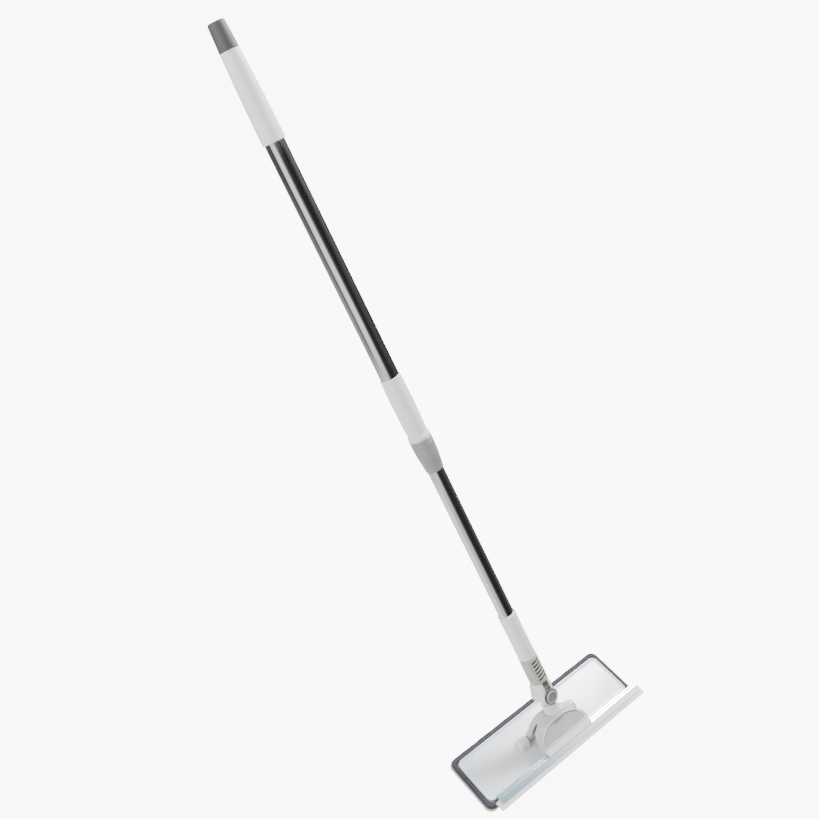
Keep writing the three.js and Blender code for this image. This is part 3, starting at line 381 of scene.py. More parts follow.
def start_material(name, base_colour, roughness, metallic=0.0, bare=None):
    """A new material and its shader, with the values that are the same all over the surface."""
    material = bpy.data.materials.new(name)
    material.use_nodes = True
    material.diffuse_color = (*base_colour, 1)
    tree = material.node_tree
    tree.nodes.clear()
    shader = tree.nodes.new("ShaderNodeBsdfPrincipled")
    shader.inputs["Base Color"].default_value = (*base_colour, 1)
    shader.inputs["Roughness"].default_value = roughness
    shader.inputs["Metallic"].default_value = metallic
    for socket, value in (bare or {}).items():
        shader.inputs[socket].default_value = value
    out = tree.nodes.new("ShaderNodeOutputMaterial")
    tree.links.new(shader.outputs[0], out.inputs[0])
    return material, tree, shader


def feed(tree, shader, **links):
    """Links wires to the shader's sockets, named with underscores for spaces."""
    for name, wire in links.items():
        tree.links.new(wire.socket, shader.inputs[name.replace("_", " ")])


def own_place(tree):
    """The piece's Object coordinates, in metres."""
    return Wire.add(tree, "ShaderNodeTexCoord", output=3)


def noise(tree, place, scale, detail, **more):
    """Noise at a place, with its scale, its detail and any other input by name."""
    return Wire.add(tree, "ShaderNodeTexNoise", None,
                    {"Vector": place, "Scale": scale, "Detail": detail, **more})


def bump(tree, height, strength, distance):
    """A normal tilted by the height's slope; the distance is in metres."""
    return Wire.add(tree, "ShaderNodeBump", None,
                    {"Height": height, "Strength": strength, "Distance": distance})


def box_mm(node):
    """The low and the high corner of a CAD node's box, in millimetres."""
    low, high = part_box(node)
    return np.array(low) * 1000, np.array(high) * 1000


def microfibre_pile():
    """Cream tufts: painted shade darkens the hollows between tufts, with noise at the yarn's scale, and a
    sheen lights the fibre tips.
    """
    material, tree, shader = start_material("microfibre_pile", PILE_CREAM, 0.95,
                                            bare={"Sheen Weight": 0.5, "Sheen Roughness": 0.45})
    place = own_place(tree)
    tufts = Wire.add(tree, "ShaderNodeTexVoronoi", {"feature": "F1"},
                     {"Vector": place, "Scale": 1000 / TUFT_PITCH_MM * 0.9})
    fibres = noise(tree, place, 1900.0, 6.0, Roughness=0.7)
    patches = noise(tree, place, 28.0, 3.0)
    # painted shade: the hollows between tufts and fibres are darkened towards the pile's shade colour
    hollow = Wire.add(tree, "ShaderNodeValToRGB", {"stops": [(0.25, 0.0), (0.85, 1.0)]},
                      {0: tufts * 0.7 + fibres * 0.45})
    cream = blend_colours(tree, patches * 0.5, PILE_CREAM, (0.74, 0.70, 0.61))
    feed(tree, shader, Base_Color=blend_colours(tree, hollow, cream, PILE_SHADE),
         Normal=bump(tree, fibres * 0.7 - tufts * 0.5, 0.7, 0.0006))
    return material


pile_low, pile_high = box_mm("pad")
pile_half = (pile_high - pile_low) / 2
pile_middle = (pile_high + pile_low) / 2


def pile_field(x, y, z):
    """The slab less a tuft relief: rows of round tufts, each row set off by half a pitch and pushed
    about by slow sine waves, deepest on the working face and fading out towards the backing."""
    row = (y + 0.5 * np.sin(x * 0.21) + 0.3 * np.sin(x * 0.83)) / TUFT_PITCH_MM
    column = (x + 0.5 * np.sin(y * 0.31) + 0.25 * np.sin(y * 1.1)) / TUFT_PITCH_MM + 0.5 * np.floor(row)
    hill = np.abs(np.sin(np.pi * row)) * np.abs(np.sin(np.pi * column))
    relief = TUFT_DEPTH_MM * (1 - hill) * np.clip((pile_high[2] - z) / 3.0, 0, 1)
    bulge_half = (PILE_BULGE_MM[0], PILE_BULGE_MM[1], PILE_BULGE_MM[2] / 2)
    under = rounded_box(x, y, z - bulge_half[2], bulge_half, BULGE_CORNER_MM, PILE_EDGE_ROUND_MM)
    over = rounded_box(x - pile_middle[0], y - pile_middle[1], z - pile_middle[2], pile_half,
                       PILE_CORNER_MM, PILE_EDGE_ROUND_MM)
    return np.minimum(under, over) + relief


pile_points, pile_faces = skin_of(pile_field, pile_low - 7, pile_high + 7, PILE_STEP_MM)
pile = put("microfibre_pile", pile_points, pile_faces, microfibre_pile(), "plate_swing",
           ["pad"])

# ---------------------------------------------------------------- hem
# A bias-cut strip of dark woven polyester folded over the pad's edge, lapping the plate's edge by a
# few millimetres, and sewn through with one line of lock stitch that draws the fold into a groove.
HEM_STEPS = 1500
HEM_BAND_MM = 7.8
HEM_OUTER_CORNER_MM = 11
HEM_CORNER_MM = 2.2
HEM_SQUARENESS = 0.55
HEM_SIDE_STEPS = 30
STITCH_PITCH_MM = 3.1
STITCH_LINE_MM = -0.9
STITCH_GROOVE_MM = 0.4
PUCKER_MM = 0.09
HEM_NAVY = (0.017, 0.018, 0.024)
HEM_WORN = (0.046, 0.048, 0.058)
THREAD_GREY = (0.12, 0.125, 0.15)
THREAD_DARK, THREAD_LIGHT = (0.08, 0.085, 0.1), (0.19, 0.2, 0.23)

hem_low, hem_high = box_mm("pad_hem")
plate_low, plate_high = box_mm("plate")


def rectangle_path(half_x, half_y, corner, count):
    """Points and outward unit normals, evenly spaced round a rectangle with round corners,
    anticlockwise from the middle of its +X side, with the distance gone at each point."""
    straight_x, straight_y = 2 * (half_x - corner), 2 * (half_y - corner)
    arc = math.pi / 2 * corner
    total = 2 * (straight_x + straight_y) + 4 * arc
    gone = (np.arange(count) / count) * total
    lengths = np.array([straight_y / 2, arc, straight_x, arc, straight_y, arc, straight_x, arc,
                        straight_y / 2])
    starts = np.concatenate([[0], np.cumsum(lengths)[:-1]])
    part = np.clip(np.searchsorted(starts, gone, "right") - 1, 0, 8)
    share = gone - starts[part]
    turn = part // 2
    angle = turn * math.pi / 2 + np.where(part % 2 == 1, share / max(corner, 1e-6), 0)
    normal = np.stack([np.cos(angle), np.sin(angle)], 1)
    tangent = np.stack([-np.sin(angle), np.cos(angle)], 1)
    centre_x = np.array([1, -1, -1, 1, 1])[turn] * (half_x - corner)
    centre_y = np.array([1, 1, -1, -1, -1])[turn] * (half_y - corner)
    first = np.array([[half_x, 0], [half_x - corner, half_y], [-half_x, half_y - corner],
                      [-half_x + corner, -half_y], [half_x, -half_y + corner]])[turn]
    on_arc = np.stack([centre_x, centre_y], 1) + corner * normal
    on_side = first + share[:, None] * tangent
    return np.where((part % 2 == 1)[:, None], on_arc, on_side), normal, gone, total


def grid_faces(rows, columns, closed_rows=False, closed_columns=False):
    """Quads of a grid of points stored row by row, and each corner's (column, row) place."""
    r, c = np.meshgrid(np.arange(rows if closed_rows else rows - 1),
                       np.arange(columns if closed_columns else columns - 1), indexing="ij")
    corner_r = np.stack([r, r, r + 1, r + 1], -1).reshape(-1, 4)
    corner_c = np.stack([c, c + 1, c + 1, c], -1).reshape(-1, 4)
    return corner_r % rows * columns + corner_c % columns, np.stack([corner_c, corner_r], -1)


def own_map(tree):
    """The piece's own UV map: one unit is a millimetre of the surface."""
    return Wire.add(tree, "ShaderNodeUVMap", {"uv_map": "UVMap"})


def woven_hem():
    """Plain weave: two crossed waves on the cloth's own map, thread by thread, with a fuzzy sheen."""
    material, tree, shader = start_material("woven_hem", HEM_NAVY, 0.9,
                                            bare={"Sheen Weight": 0.35, "Sheen Roughness": 0.5,
                                                  "Sheen Tint": (0.6, 0.65, 0.8, 1)})
    cloth = own_map(tree)
    place = own_place(tree)
    warp = Wire.add(tree, "ShaderNodeTexWave", {"bands_direction": "X"}, {"Vector": cloth, "Scale": 0.72})
    weft = Wire.add(tree, "ShaderNodeTexWave", {"bands_direction": "Y"}, {"Vector": cloth, "Scale": 0.72})
    fuzz = noise(tree, place, 900.0, 4.0)
    worn = noise(tree, place, 60.0, 4.0)
    threads = warp * 0.5 + weft * 0.5
    feed(tree, shader,
         Base_Color=blend_colours(tree, (threads * 0.45 + fuzz * 0.3) * (worn + 0.25), HEM_NAVY, HEM_WORN),
         Normal=bump(tree, threads + fuzz * 0.4, 0.6, 0.00025))
    return material


hem_cloth = woven_hem()
hem_path, hem_normal, hem_gone, hem_total = rectangle_path(
    hem_high[0] - HEM_BAND_MM / 2, hem_high[1] - HEM_BAND_MM / 2, HEM_OUTER_CORNER_MM - HEM_BAND_MM / 2,
    HEM_STEPS)


def hem_section(turn, gone):
    """A folded band seen end on: a superellipse as wide as the band and as high as its box. Its top is
    pressed in along the stitch line, its outside swells between stitches, and its inner half is
    lifted onto the pile."""
    width, height = HEM_BAND_MM / 2, (hem_high[2] - hem_low[2]) / 2
    across = np.sign(np.cos(turn)) * np.abs(np.cos(turn)) ** HEM_SQUARENESS * width
    up_down = np.sign(np.sin(turn)) * np.abs(np.sin(turn)) ** HEM_SQUARENESS * height
    swell = np.abs(np.sin(np.pi * gone / STITCH_PITCH_MM))
    top = np.clip(up_down / height, 0, 1)
    groove = np.exp(-((across - STITCH_LINE_MM) / 0.6) ** 2) * top
    outer = np.clip(across / width, 0, 1)
    ripple = 0.12 * np.sin(gone * 0.147) + 0.09 * np.sin(gone * 0.391 + 1.3)
    lifted = np.clip((across + 0.2) / 1.2, 0, 1)
    up_down = np.where(up_down < 0, up_down * (0.16 + 0.50 * lifted * lifted * (3 - 2 * lifted)), up_down)
    return (across + outer * (PUCKER_MM * (swell - 1) + ripple - 0.2),
            up_down - groove * (STITCH_GROOVE_MM + PUCKER_MM * (1 - swell)) - top * PUCKER_MM * (1 - swell)
            - top * 0.9 * outer ** 2)


turn, gone = np.meshgrid(np.linspace(0, 2 * np.pi, HEM_SIDE_STEPS, endpoint=False), hem_gone)
across, up_down = hem_section(turn, gone)
# at the corners the inner edge reaches in to the plate's rounder corner
corner_share = np.abs(2 * hem_normal[:, :1] * hem_normal[:, 1:])
across += np.minimum(across / HEM_BAND_MM * 2, 0) * HEM_CORNER_MM * corner_share
hem_points = np.concatenate([
    hem_path[:, None, :] + across[:, :, None] * hem_normal[:, None, :],
    ((hem_low[2] + hem_high[2]) / 2 + up_down)[:, :, None],
], 2).reshape(-1, 3)
hem_faces, hem_places = grid_faces(HEM_STEPS, HEM_SIDE_STEPS, True, True)
hem_places = hem_places * np.array([20.0 / HEM_SIDE_STEPS, hem_total / HEM_STEPS])
hem = put("bound_hem", hem_points, hem_faces[:, ::-1], hem_cloth, "plate_swing", ["pad_hem"],
          hem_places[:, ::-1])


def stitch_row(path, normal, height, count, length, thick):
    """Short fat threads laid end to end along a level path: each is an ellipsoid, whose rings are
    circles that shrink to its ends as the root of one less the square of the way along."""
    rings, sides = 7, 8
    way = np.linspace(-1, 1, rings)
    reach = np.sqrt(np.clip(1 - way ** 2, 0.03, 1))
    around = np.arange(sides) / sides * 2 * np.pi
    picks = (np.arange(count) * len(path) / count).astype(int)
    tangent = np.stack([-normal[picks, 1], normal[picks, 0]], 1)
    along = way[None, :, None] * length / 2
    centre = path[picks][:, None, :] + along * tangent[:, None, :]
    side = reach[:, None] * np.cos(around)[None, :] * thick
    lift = reach[:, None] * np.sin(around)[None, :] * thick
    flat = centre[:, :, None, :] + side[None, :, :, None] * normal[picks][:, None, None, :]
    high = np.broadcast_to((height + lift)[None, :, :, None], (*flat.shape[:3], 1))
    points = np.concatenate([flat, high], 3).reshape(-1, 3)
    faces, places = grid_faces(rings, sides, False, True)
    faces = (faces[None] + np.arange(count)[:, None, None] * rings * sides).reshape(-1, 4)
    return points, faces, np.tile(places, (count, 1, 1))


def sewing_thread():
    """Dull polyester thread: a fine twist along each stitch."""
    material, tree, shader = start_material("sewing_thread", THREAD_GREY, 0.7, bare={"Sheen Weight": 0.3})
    place = own_place(tree)
    twist = noise(tree, place, 2600.0, 2.0)
    feed(tree, shader, Base_Color=blend_colours(tree, twist, THREAD_DARK, THREAD_LIGHT),
         Normal=bump(tree, twist, 0.6, 0.0002))
    return material


stitch_count = round(hem_total / STITCH_PITCH_MM)
stitch_points, stitch_faces, stitch_places = stitch_row(
    hem_path + STITCH_LINE_MM * hem_normal, hem_normal, hem_high[2] - STITCH_GROOVE_MM - 0.05, stitch_count,
    STITCH_PITCH_MM * 0.8, 0.28)
put("hem_stitching", stitch_points, stitch_faces, sewing_thread(), "plate_swing",
    places=stitch_places, ends=True)

# ---------------------------------------------------------------- plate and its hook strips
# An injection-moulded plate with a raised lip and a fine step inside it, glossy on top.
# Two strips of plastic hooks are glued under it and hold the pad's backing.
PLATE_WHITE = (0.655, 0.685, 0.72)
LIP_TOP_MM = 1.7
LIP_STEPS = 900
PLATE_CORNER_MM = 9
PLATE_RING_MM = -8.9
PLATE_RIM_INSIDE_MM = 2.6
PLATE_TRAY_MM = 1.5
HOOK_WHITE = (0.72, 0.72, 0.70)
TURNED_STEEL = (0.46, 0.46, 0.47)
TURNED_DARK, TURNED_LIGHT = (0.38, 0.38, 0.39), (0.55, 0.55, 0.56)
NYLON_WHITE = (0.55, 0.55, 0.53)


def filleted(corners, longest=None):
    """The closed outline of corners (a, b, radius): each corner becomes an arc that touches both of its
    sides, and a side longer than the given length is divided evenly."""
    corners = np.array(corners, float)
    points = []
    for before, here, after in zip(np.roll(corners, 1, 0), corners, np.roll(corners, -1, 0)):
        to_before, to_after = before[:2] - here[:2], after[:2] - here[:2]
        length_before, length_after = np.linalg.norm(to_before), np.linalg.norm(to_after)
        to_before, to_after = to_before / length_before, to_after / length_after
        half = math.acos(float(np.clip(to_before @ to_after, -1, 1))) / 2
        if here[2] < 1e-6 or half > 1.55:
            points.append(here[:2])
            continue
        cut = min(here[2] / math.tan(half), 0.48 * length_before, 0.48 * length_after)
        radius = cut * math.tan(half)
        middle = to_before + to_after
        centre = here[:2] + middle / np.linalg.norm(middle) * radius / math.sin(half)
        start, stop = here[:2] + to_before * cut - centre, here[:2] + to_after * cut - centre
        first = math.atan2(start[1], start[0])
        sweep = (math.atan2(stop[1], stop[0]) - first + math.pi) % (2 * math.pi) - math.pi
        turn = first + sweep * np.linspace(0, 1, 6)
        points.extend(centre + radius * np.stack([np.cos(turn), np.sin(turn)], 1))
    if longest:
        spread = []
        for here, after in zip(points, points[1:] + points[:1]):
            count = max(1, math.ceil(np.linalg.norm(after - here) / longest))
            spread.extend(here + (after - here) * np.linspace(0, 1, count, endpoint=False)[:, None])
        points = spread
    return np.array(points)


def moulded(name, colour, roughness, grain=0.3, tint=0.06, bare=None):
    """Moulded plastic: a fine etched grain in the bump, slow flow marks in the colour, fine specks and
    hand polish in the roughness."""
    material, tree, shader = start_material(name, colour, roughness, bare=bare)
    place = own_place(tree)
    etch = noise(tree, place, 2600.0, 3.0, Roughness=0.6)
    flow = noise(tree, place, 22.0, 4.0, Distortion=0.6)
    specks = Wire.add(tree, "ShaderNodeTexVoronoi", {"feature": "F1"}, {"Vector": place, "Scale": 420.0})
    ripple = noise(tree, place, 90.0, 2.0)
    darker = tuple(channel * (1 - 2.2 * tint) for channel in colour)
    lighter = tuple(min(1.0, channel * (1 + 0.8 * tint)) for channel in colour)
    tone = Wire.add(tree, "ShaderNodeMapRange", None,
                    {0: flow + etch * 0.25 - specks * 0.08, 1: 0.35, 2: 0.85})
    feed(tree, shader,
         Base_Color=blend_colours(tree, tone, darker, lighter),
         Roughness=(flow - 0.5) * 0.22 + etch * 0.08 + (roughness - 0.04),
         Normal=bump(tree, etch * grain + ripple * 0.35, 0.35, 0.00008))
    return material


plate_plastic = moulded("plate_plastic", PLATE_WHITE, 0.27, 0.2, 0.035,
                        {"Coat Weight": 0.25, "Coat Roughness": 0.1})
plate_floor = plate_high[2] - PLATE_TRAY_MM
lip_path, lip_normal = rectangle_path(plate_high[0], plate_high[1], PLATE_CORNER_MM, LIP_STEPS)[:2]
# the section, from the bottom's inner ring outwards, over the lip and in again
lip_section = filleted([
    (PLATE_RING_MM, plate_low[2], 0), (0, plate_low[2], 0.5), (0, plate_high[2], 1.1),
    (-LIP_TOP_MM, plate_high[2], 0.5), (-PLATE_RIM_INSIDE_MM, plate_floor + 0.55, 0.5),
    (-PLATE_RIM_INSIDE_MM - 1.1, plate_floor + 0.5, 0.3), (-PLATE_RIM_INSIDE_MM - 1.5, plate_floor, 0.35),
    (PLATE_RING_MM, plate_floor, 0),
])
plate_points = np.concatenate([
    lip_path[:, None, :] + lip_section[None, :, :1] * lip_normal[:, None, :],
    np.broadcast_to(lip_section[None, :, 1:], (LIP_STEPS, len(lip_section), 1)),
], 2).reshape(-1, 3)
plate_faces, plate_places = grid_faces(LIP_STEPS, len(lip_section), True, False)
put("tool_plate", plate_points, plate_faces, plate_plastic, "plate_swing", ["plate"],
    plate_places, sharp=50, ends=True)


def turned_steel():
    """Steel as the lathe leaves it: fine noise in its shade, its roughness and its bump."""
    material, tree, shader = start_material("turned_steel", TURNED_STEEL, 0.28, 1.0)
    turning = noise(tree, own_place(tree), 1500.0, 3.0)
    feed(tree, shader, Roughness=turning * 0.2 + 0.2,
         Base_Color=blend_colours(tree, turning, TURNED_DARK, TURNED_LIGHT),
         Normal=bump(tree, turning, 0.3, 0.00005))
    return material


def finish(material, *nodes):
    """Gives the material to CAD nodes that show as they are."""
    for node in nodes:
        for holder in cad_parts[node].material_slots:
            holder.material = material


hinge_steel = turned_steel()
finish(moulded("hook_tape", HOOK_WHITE, 0.8, 1.0, 0.1), "grip_strip_front", "grip_strip_back")
finish(hinge_steel, "hinge_pin", "lock_spring", "pivot_pin", "release_spring", "socket_pin")
finish(moulded("natural_nylon", NYLON_WHITE, 0.5), "lock_gear", "tube_plug", "clamp_collet")

# ---------------------------------------------------------------- plate hinge ears
# Two smooth bosses moulded with the plate's top. Each holds one end of the steel hinge pin in a
# blind bore, and its flanks run out into the plate in a wide fillet.
EAR_STEP_MM = 0.5
EAR_SKIRT_MM = 2.6
EAR_HALF_MM = 8.8
EAR_RISE_MM = 13.2
EAR_BACK_MM = 2.2
HINGE_Z_MM = 16.5
HINGE_BORE_MM = 2.3
EAR_WEB_MM = 3.5
EAR_POWER = 2.2


def blended(a, b, width):
    """The union of two fields, with a fillet of about the given width where they meet."""
    share = np.clip(0.5 + 0.5 * (b - a) / width, 0, 1)
    return b + (a - b) * share - width * share * (1 - share)


def shared(a, b, width=0.3):
    """What two fields have in common, its edges rounded over about the given width."""
    return -blended(-a, -b, width)


def without(a, b, width=0.3):
    """The first field less the second."""
    return shared(a, -b, width)


for ear_name in ("hinge_ear_left", "hinge_ear_right"):
    ear_low, ear_high = box_mm(ear_name)
    side = 1 if ear_low[0] > 0 else -1
    ear_middle = (ear_low + ear_high) / 2
    ear_half = (ear_high - ear_low) / 2

    def ear_field(x, y, z):
        """A dome over the pin: a superellipse across the plate, rounded at both ends, on a thin skirt."""
        up = (z - ear_low[2]) / EAR_RISE_MM
        flank = np.abs(y + EAR_BACK_MM) / EAR_HALF_MM
        dome = (flank ** EAR_POWER + np.maximum(up, 0) ** EAR_POWER) ** (1 / EAR_POWER) - 1
        dome = dome * EAR_HALF_MM
        ends = np.abs(x - ear_middle[0]) - ear_half[0]
        body = shared(dome, ends, 6.5)
        skirt = rounded_box(x - ear_middle[0], y + EAR_BACK_MM, z - ear_low[2] - 0.5,
                            (ear_half[0], EAR_HALF_MM + 2, 0.5), 6.0, 0.4)
        body = blended(body, skirt, EAR_SKIRT_MM)
        body = np.maximum(body, ear_low[2] - z)
        bore = np.maximum(np.hypot(y, z - HINGE_Z_MM) - HINGE_BORE_MM,
                          side * x - (max(abs(ear_low[0]), abs(ear_high[0])) - EAR_WEB_MM))
        return np.maximum(np.maximum(body, -bore), np.abs(x - ear_middle[0]) - ear_half[0])

    ear_points, ear_faces = skin_of(ear_field, ear_low - 1.5, ear_high + 1.5, EAR_STEP_MM)
    put(ear_name.replace("hinge_ear", "hinge_boss"), ear_points, ear_faces, plate_plastic, "plate_swing",
        [ear_name])

# ---------------------------------------------------------------- squeegee channel
# Stainless strip, roll-formed to a bead at the rear, a web the jaw screws cross, and two lips that
# pinch the blade. It is polished, with faint drawing lines along it.
BRIGHT_STEEL = (0.80, 0.81, 0.82)
CHANNEL_HEIGHT_MM = 32.5
CHANNEL_REAR_MM = -40.2
channel_low, channel_high = box_mm("squeegee_channel")


def polished(name, colour, roughness):
    """Polished steel: draw lines along the piece's own map, fine scratches and slight haze."""
    material, tree, shader = start_material(name, colour, roughness, 1.0)
    way = own_map(tree)
    drawn_way = Wire.add(tree, "ShaderNodeMapping", None, {0: way, 3: (6.0, 0.035, 1.0)})
    lines = noise(tree, drawn_way, 1.0, 4.0)
    place = own_place(tree)
    haze = noise(tree, place, 35.0, 5.0)
    dust = noise(tree, place, 900.0, 2.0)
    dull = tuple(channel * 0.93 for channel in colour)
    feed(tree, shader,
         Base_Color=blend_colours(tree, lines * 0.6 + haze * 0.3, colour, dull),
         Roughness=lines * 0.03 + haze * 0.03 + dust * 0.02 + (roughness - 0.03),
         Normal=bump(tree, lines + haze * 0.2, 0.05, 0.00002))
    return material


def drawn_out(corners, low, high):
    """An outline of (y, z, radius) drawn along x: points, quads, and each corner's place in mm as
    (round the outline, along it)."""
    outline = filleted(corners)
    area = np.sum(outline[:, 0] * np.roll(outline[:, 1], -1) - outline[:, 1] * np.roll(outline[:, 0], -1))
    outline = outline if area > 0 else outline[::-1]
    stations = np.array([low, low + 0.5, high - 0.5, high])
    points = np.concatenate([
        np.broadcast_to(stations[:, None, None], (4, len(outline), 1)),
        np.broadcast_to(outline[None], (4, len(outline), 2)),
    ], 2).reshape(-1, 3)
    faces, places = grid_faces(4, len(outline), False, True)
    steps = np.linalg.norm(np.roll(outline, -1, 0) - outline, axis=1)
    round_it = np.concatenate([[0], np.cumsum(steps)])
    return points, faces, np.stack([round_it[places[..., 0]], stations[places[..., 1]]], -1)


CHANNEL_FLANK = [
    (0, 2.0, 1.2), (3.0, 2.0, 0.9), (3.5, 0.9, 0.4), (4.9, 0.9, 0.4), (5.5, 3.4, 0.9), (6.6, 3.4, 1.5),
    (14.6, 2.1, 0.25),
]
CHANNEL_INSIDE = [(14.6, 1.3, 0.2), (6.6, 2.6, 0.3)]
channel_half = CHANNEL_FLANK + CHANNEL_INSIDE
channel_corners = [
    (CHANNEL_REAR_MM - deep, CHANNEL_HEIGHT_MM + side * high, fillet)
    for side, half in ((1, channel_half), (-1, channel_half[::-1])) for deep, high, fillet in half
]
channel_points, channel_faces, channel_places = drawn_out(channel_corners, channel_low[0], channel_high[0])
put("blade_channel", channel_points, channel_faces, polished("channel_steel", BRIGHT_STEEL, 0.13),
    "head", ["squeegee_channel"], channel_places, sharp=35, ends=True)

# ---------------------------------------------------------------- squeegee blade
# A pulled silicone strip: a thick root held in the channel and a thin milky lip, cut square at its
# ends and ground to a crisp edge.
SILICONE = (0.90, 0.91, 0.92)
SILICONE_CLOUD = (0.84, 0.86, 0.88)
blade_low, blade_high = box_mm("squeegee_blade")
BLADE_CORNERS = [
    (-47.2, 30.6, 0.4), (-47.2, 34.4, 0.4), (-49.4, 34.4, 0.4), (-50.2, 33.5, 0.2), (-61.2, 33.5, 0.1),
    (-61.2, 31.5, 0.1), (-50.2, 31.5, 0.2), (-49.4, 30.6, 0.4),
]


def milky_silicone():
    """Translucent rubber: light scatters in it, and fine lines run along the way it was pulled."""
    material, tree, shader = start_material(
        "milky_silicone", SILICONE, 0.32,
        bare={"Transmission Weight": 0.5, "IOR": 1.42, "Subsurface Weight": 0.3,
              "Subsurface Scale": 0.002, "Subsurface Radius": (1.0, 1.0, 1.0)})
    way = own_map(tree)
    pulled = Wire.add(tree, "ShaderNodeMapping", None, {0: way, 3: (5.0, 0.03, 1.0)})
    lines = noise(tree, pulled, 1.0, 3.0)
    place = own_place(tree)
    cloud = noise(tree, place, 60.0, 4.0)
    feed(tree, shader,
         Base_Color=blend_colours(tree, cloud * 0.6 + lines * 0.3, SILICONE, SILICONE_CLOUD),
         Roughness=cloud * 0.12 + lines * 0.06 + 0.24,
         Normal=bump(tree, lines + cloud * 0.3, 0.25, 0.00006))
    return material


blade_points, blade_faces, blade_places = drawn_out(BLADE_CORNERS, blade_low[0], blade_high[0])
put("rubber_blade", blade_points, blade_faces, milky_silicone(), "head",
    ["squeegee_blade"], blade_places, sharp=35, ends=True)

# ---------------------------------------------------------------- bracket
# One moulding: a vaulted hood with open sides, a jaw along its front for the squeegee, a leg down to
# the hinge pin, and a round boss on its crest that flares out under the neck.
HOOD_STEP_MM = 0.62
HOOD_GREY = (0.50, 0.50, 0.485)
HOOD_HALF_MM = 44.5
HOOD_BASE_MM = 42.0
HOOD_RISE_MM = 19.5
HOOD_WALL_MM = 4
FALL_START_MM = -13.0
FALL_LENGTH_MM = 15.0
FALL_DEPTH_MM = 12
BACK_FOOT_MM = 37.2
BACK_WAIST_MM = 6.2
BACK_WAIST_LOW_MM = 19
BACK_WAIST_RISE_MM = 5
BACK_TAPER = 0.45
HOOD_SLOPE = math.radians(30)
SLOPE_FOOT_MM = -44.0
HOOD_SIDE = [
    (-48.5, 24.8), (-48.5, 28.8), (-39.9, 28.8), (-39.9, 35.9), (-37.9, 35.9), (-37.9, 45.53),
    (-12, 60.48), (-6, 60.08), (2, 57.48), (7.3, 52.48), (8.5, 45.48), (8.5, 30), (6.5, 23), (5.2, 18.4),
    (5.4, 15), (3.9, 12.6), (1.2, 11.1), (-2, 11.4), (-4.6, 13.5), (-5.5, 16.5), (-4.9, 19.2), (-3.2, 23),
    (-0.6, 28), (-0.4, 36.9), (-1.4, 42.9), (-4, 46.3), (-8, 45.1), (-13, 39.4), (-20, 31.5),
    (-28, 25.8), (-35.9, 24.8),
]
HOOD_PLAN = [(-43, -53.5), (43, -53.5), (43, -35.9), (37, -6), (37, 13.5), (-37, 13.5), (-37, -6),
             (-43, -35.9)]
HOOD_PLAN_INSIDE = [(x - math.copysign(HOOD_WALL_MM, x), y) for x, y in HOOD_PLAN]
HOOD_HOLLOW = [(-35.9, 14.8), (3.3, 23.5), (3.3, 49.48), (-4, 54.48), (-12, 55.86), (-35.9, 42.06)]
BOSS_FLANK = [(0, -44.3), (17.5, -44.3), (17.5, -42.3), (14.4, -37.9), (12.6, -33.9), (11.9, -30.9),
              (11.5, -30.3), (0, -30.3)]
NECK_ROOM_MM = 12.3
NECK_FOOT_MM = -30.0
TENON_ROOM_MM = 7.3
PANEL_HALF_MM = 40.5
PANEL_RISE_MM = 22.5
PANEL_START_MM = 8.2
PANEL_POCKET_MM = 2.2
PANEL_ROOM_MM = 0.3
JAW_SCREW_PLACE = (25.0, -44.4)
PIVOT_MM = np.array([0.0, 11.3, 83.5])
NECK_AXES = np.array([[1, 0, 0], [0, 0.835807, -0.549023], [0, 0.549023, 0.835807]])


def outline_distance(u, v, corners):
    """Signed distance to a closed outline: the least distance to its sides, negative where a line out
    of the point crosses the outline an odd number of times."""
    nearest = np.full(np.shape(u), 1e9)
    inside = np.zeros(np.shape(u), bool)
    for (a, b), (c, d) in zip(corners, list(corners[1:]) + [corners[0]]):
        from_a, from_b, side_u, side_v = u - a, v - b, c - a, d - b
        share = np.clip((from_a * side_u + from_b * side_v) / (side_u ** 2 + side_v ** 2), 0, 1)
        nearest = np.minimum(nearest, (from_a - side_u * share) ** 2 + (from_b - side_v * share) ** 2)
        if d != b:
            inside ^= ((b > v) != (d > v)) & (from_a < from_b * side_u / side_v)
    return np.where(inside, -1, 1) * np.sqrt(nearest)


def half_ellipse(across, up, half, rise):
    """Nearly the signed distance to the ellipse with these half sizes."""
    scaled = np.hypot(across / half, up / rise)
    slope = np.hypot(across / half ** 2, up / rise ** 2) / np.maximum(scaled, 1e-6)
    return (scaled - 1) / np.maximum(slope, 1e-6)


def vault(x, y, z, inset):
    """The hood seen from the front: straight sides below its base line and a half ellipse above. Behind
    the crest its sides fall in, evenly with the height, to the leg's narrow back."""
    half, rise = HOOD_HALF_MM - inset, HOOD_RISE_MM - inset * 0.8
    front = np.where(z > HOOD_BASE_MM, half_ellipse(x, z - HOOD_BASE_MM, half, rise), np.abs(x) - half)
    fall = np.clip((y - FALL_START_MM) / FALL_LENGTH_MM, 0, 1)
    fall = fall * fall * (3 - 2 * fall)
    above = z - BACK_WAIST_LOW_MM
    waist = np.clip(above / BACK_WAIST_RISE_MM, 0, 1)
    back_half = (BACK_FOOT_MM - BACK_WAIST_MM * waist * waist * (3 - 2 * waist)
                 - BACK_TAPER * np.maximum(above - BACK_WAIST_RISE_MM, 0) - inset)
    return np.maximum(front, (np.abs(x) - back_half) * 0.8 - (1 - fall) * FALL_DEPTH_MM)


def on_slope(y, z):
    """Distance up the hood's front slope from its foot, and height off it."""
    from_y, from_z = y - SLOPE_FOOT_MM, z - HOOD_BASE_MM
    return (from_y * math.cos(HOOD_SLOPE) + from_z * math.sin(HOOD_SLOPE),
            from_z * math.cos(HOOD_SLOPE) - from_y * math.sin(HOOD_SLOPE))


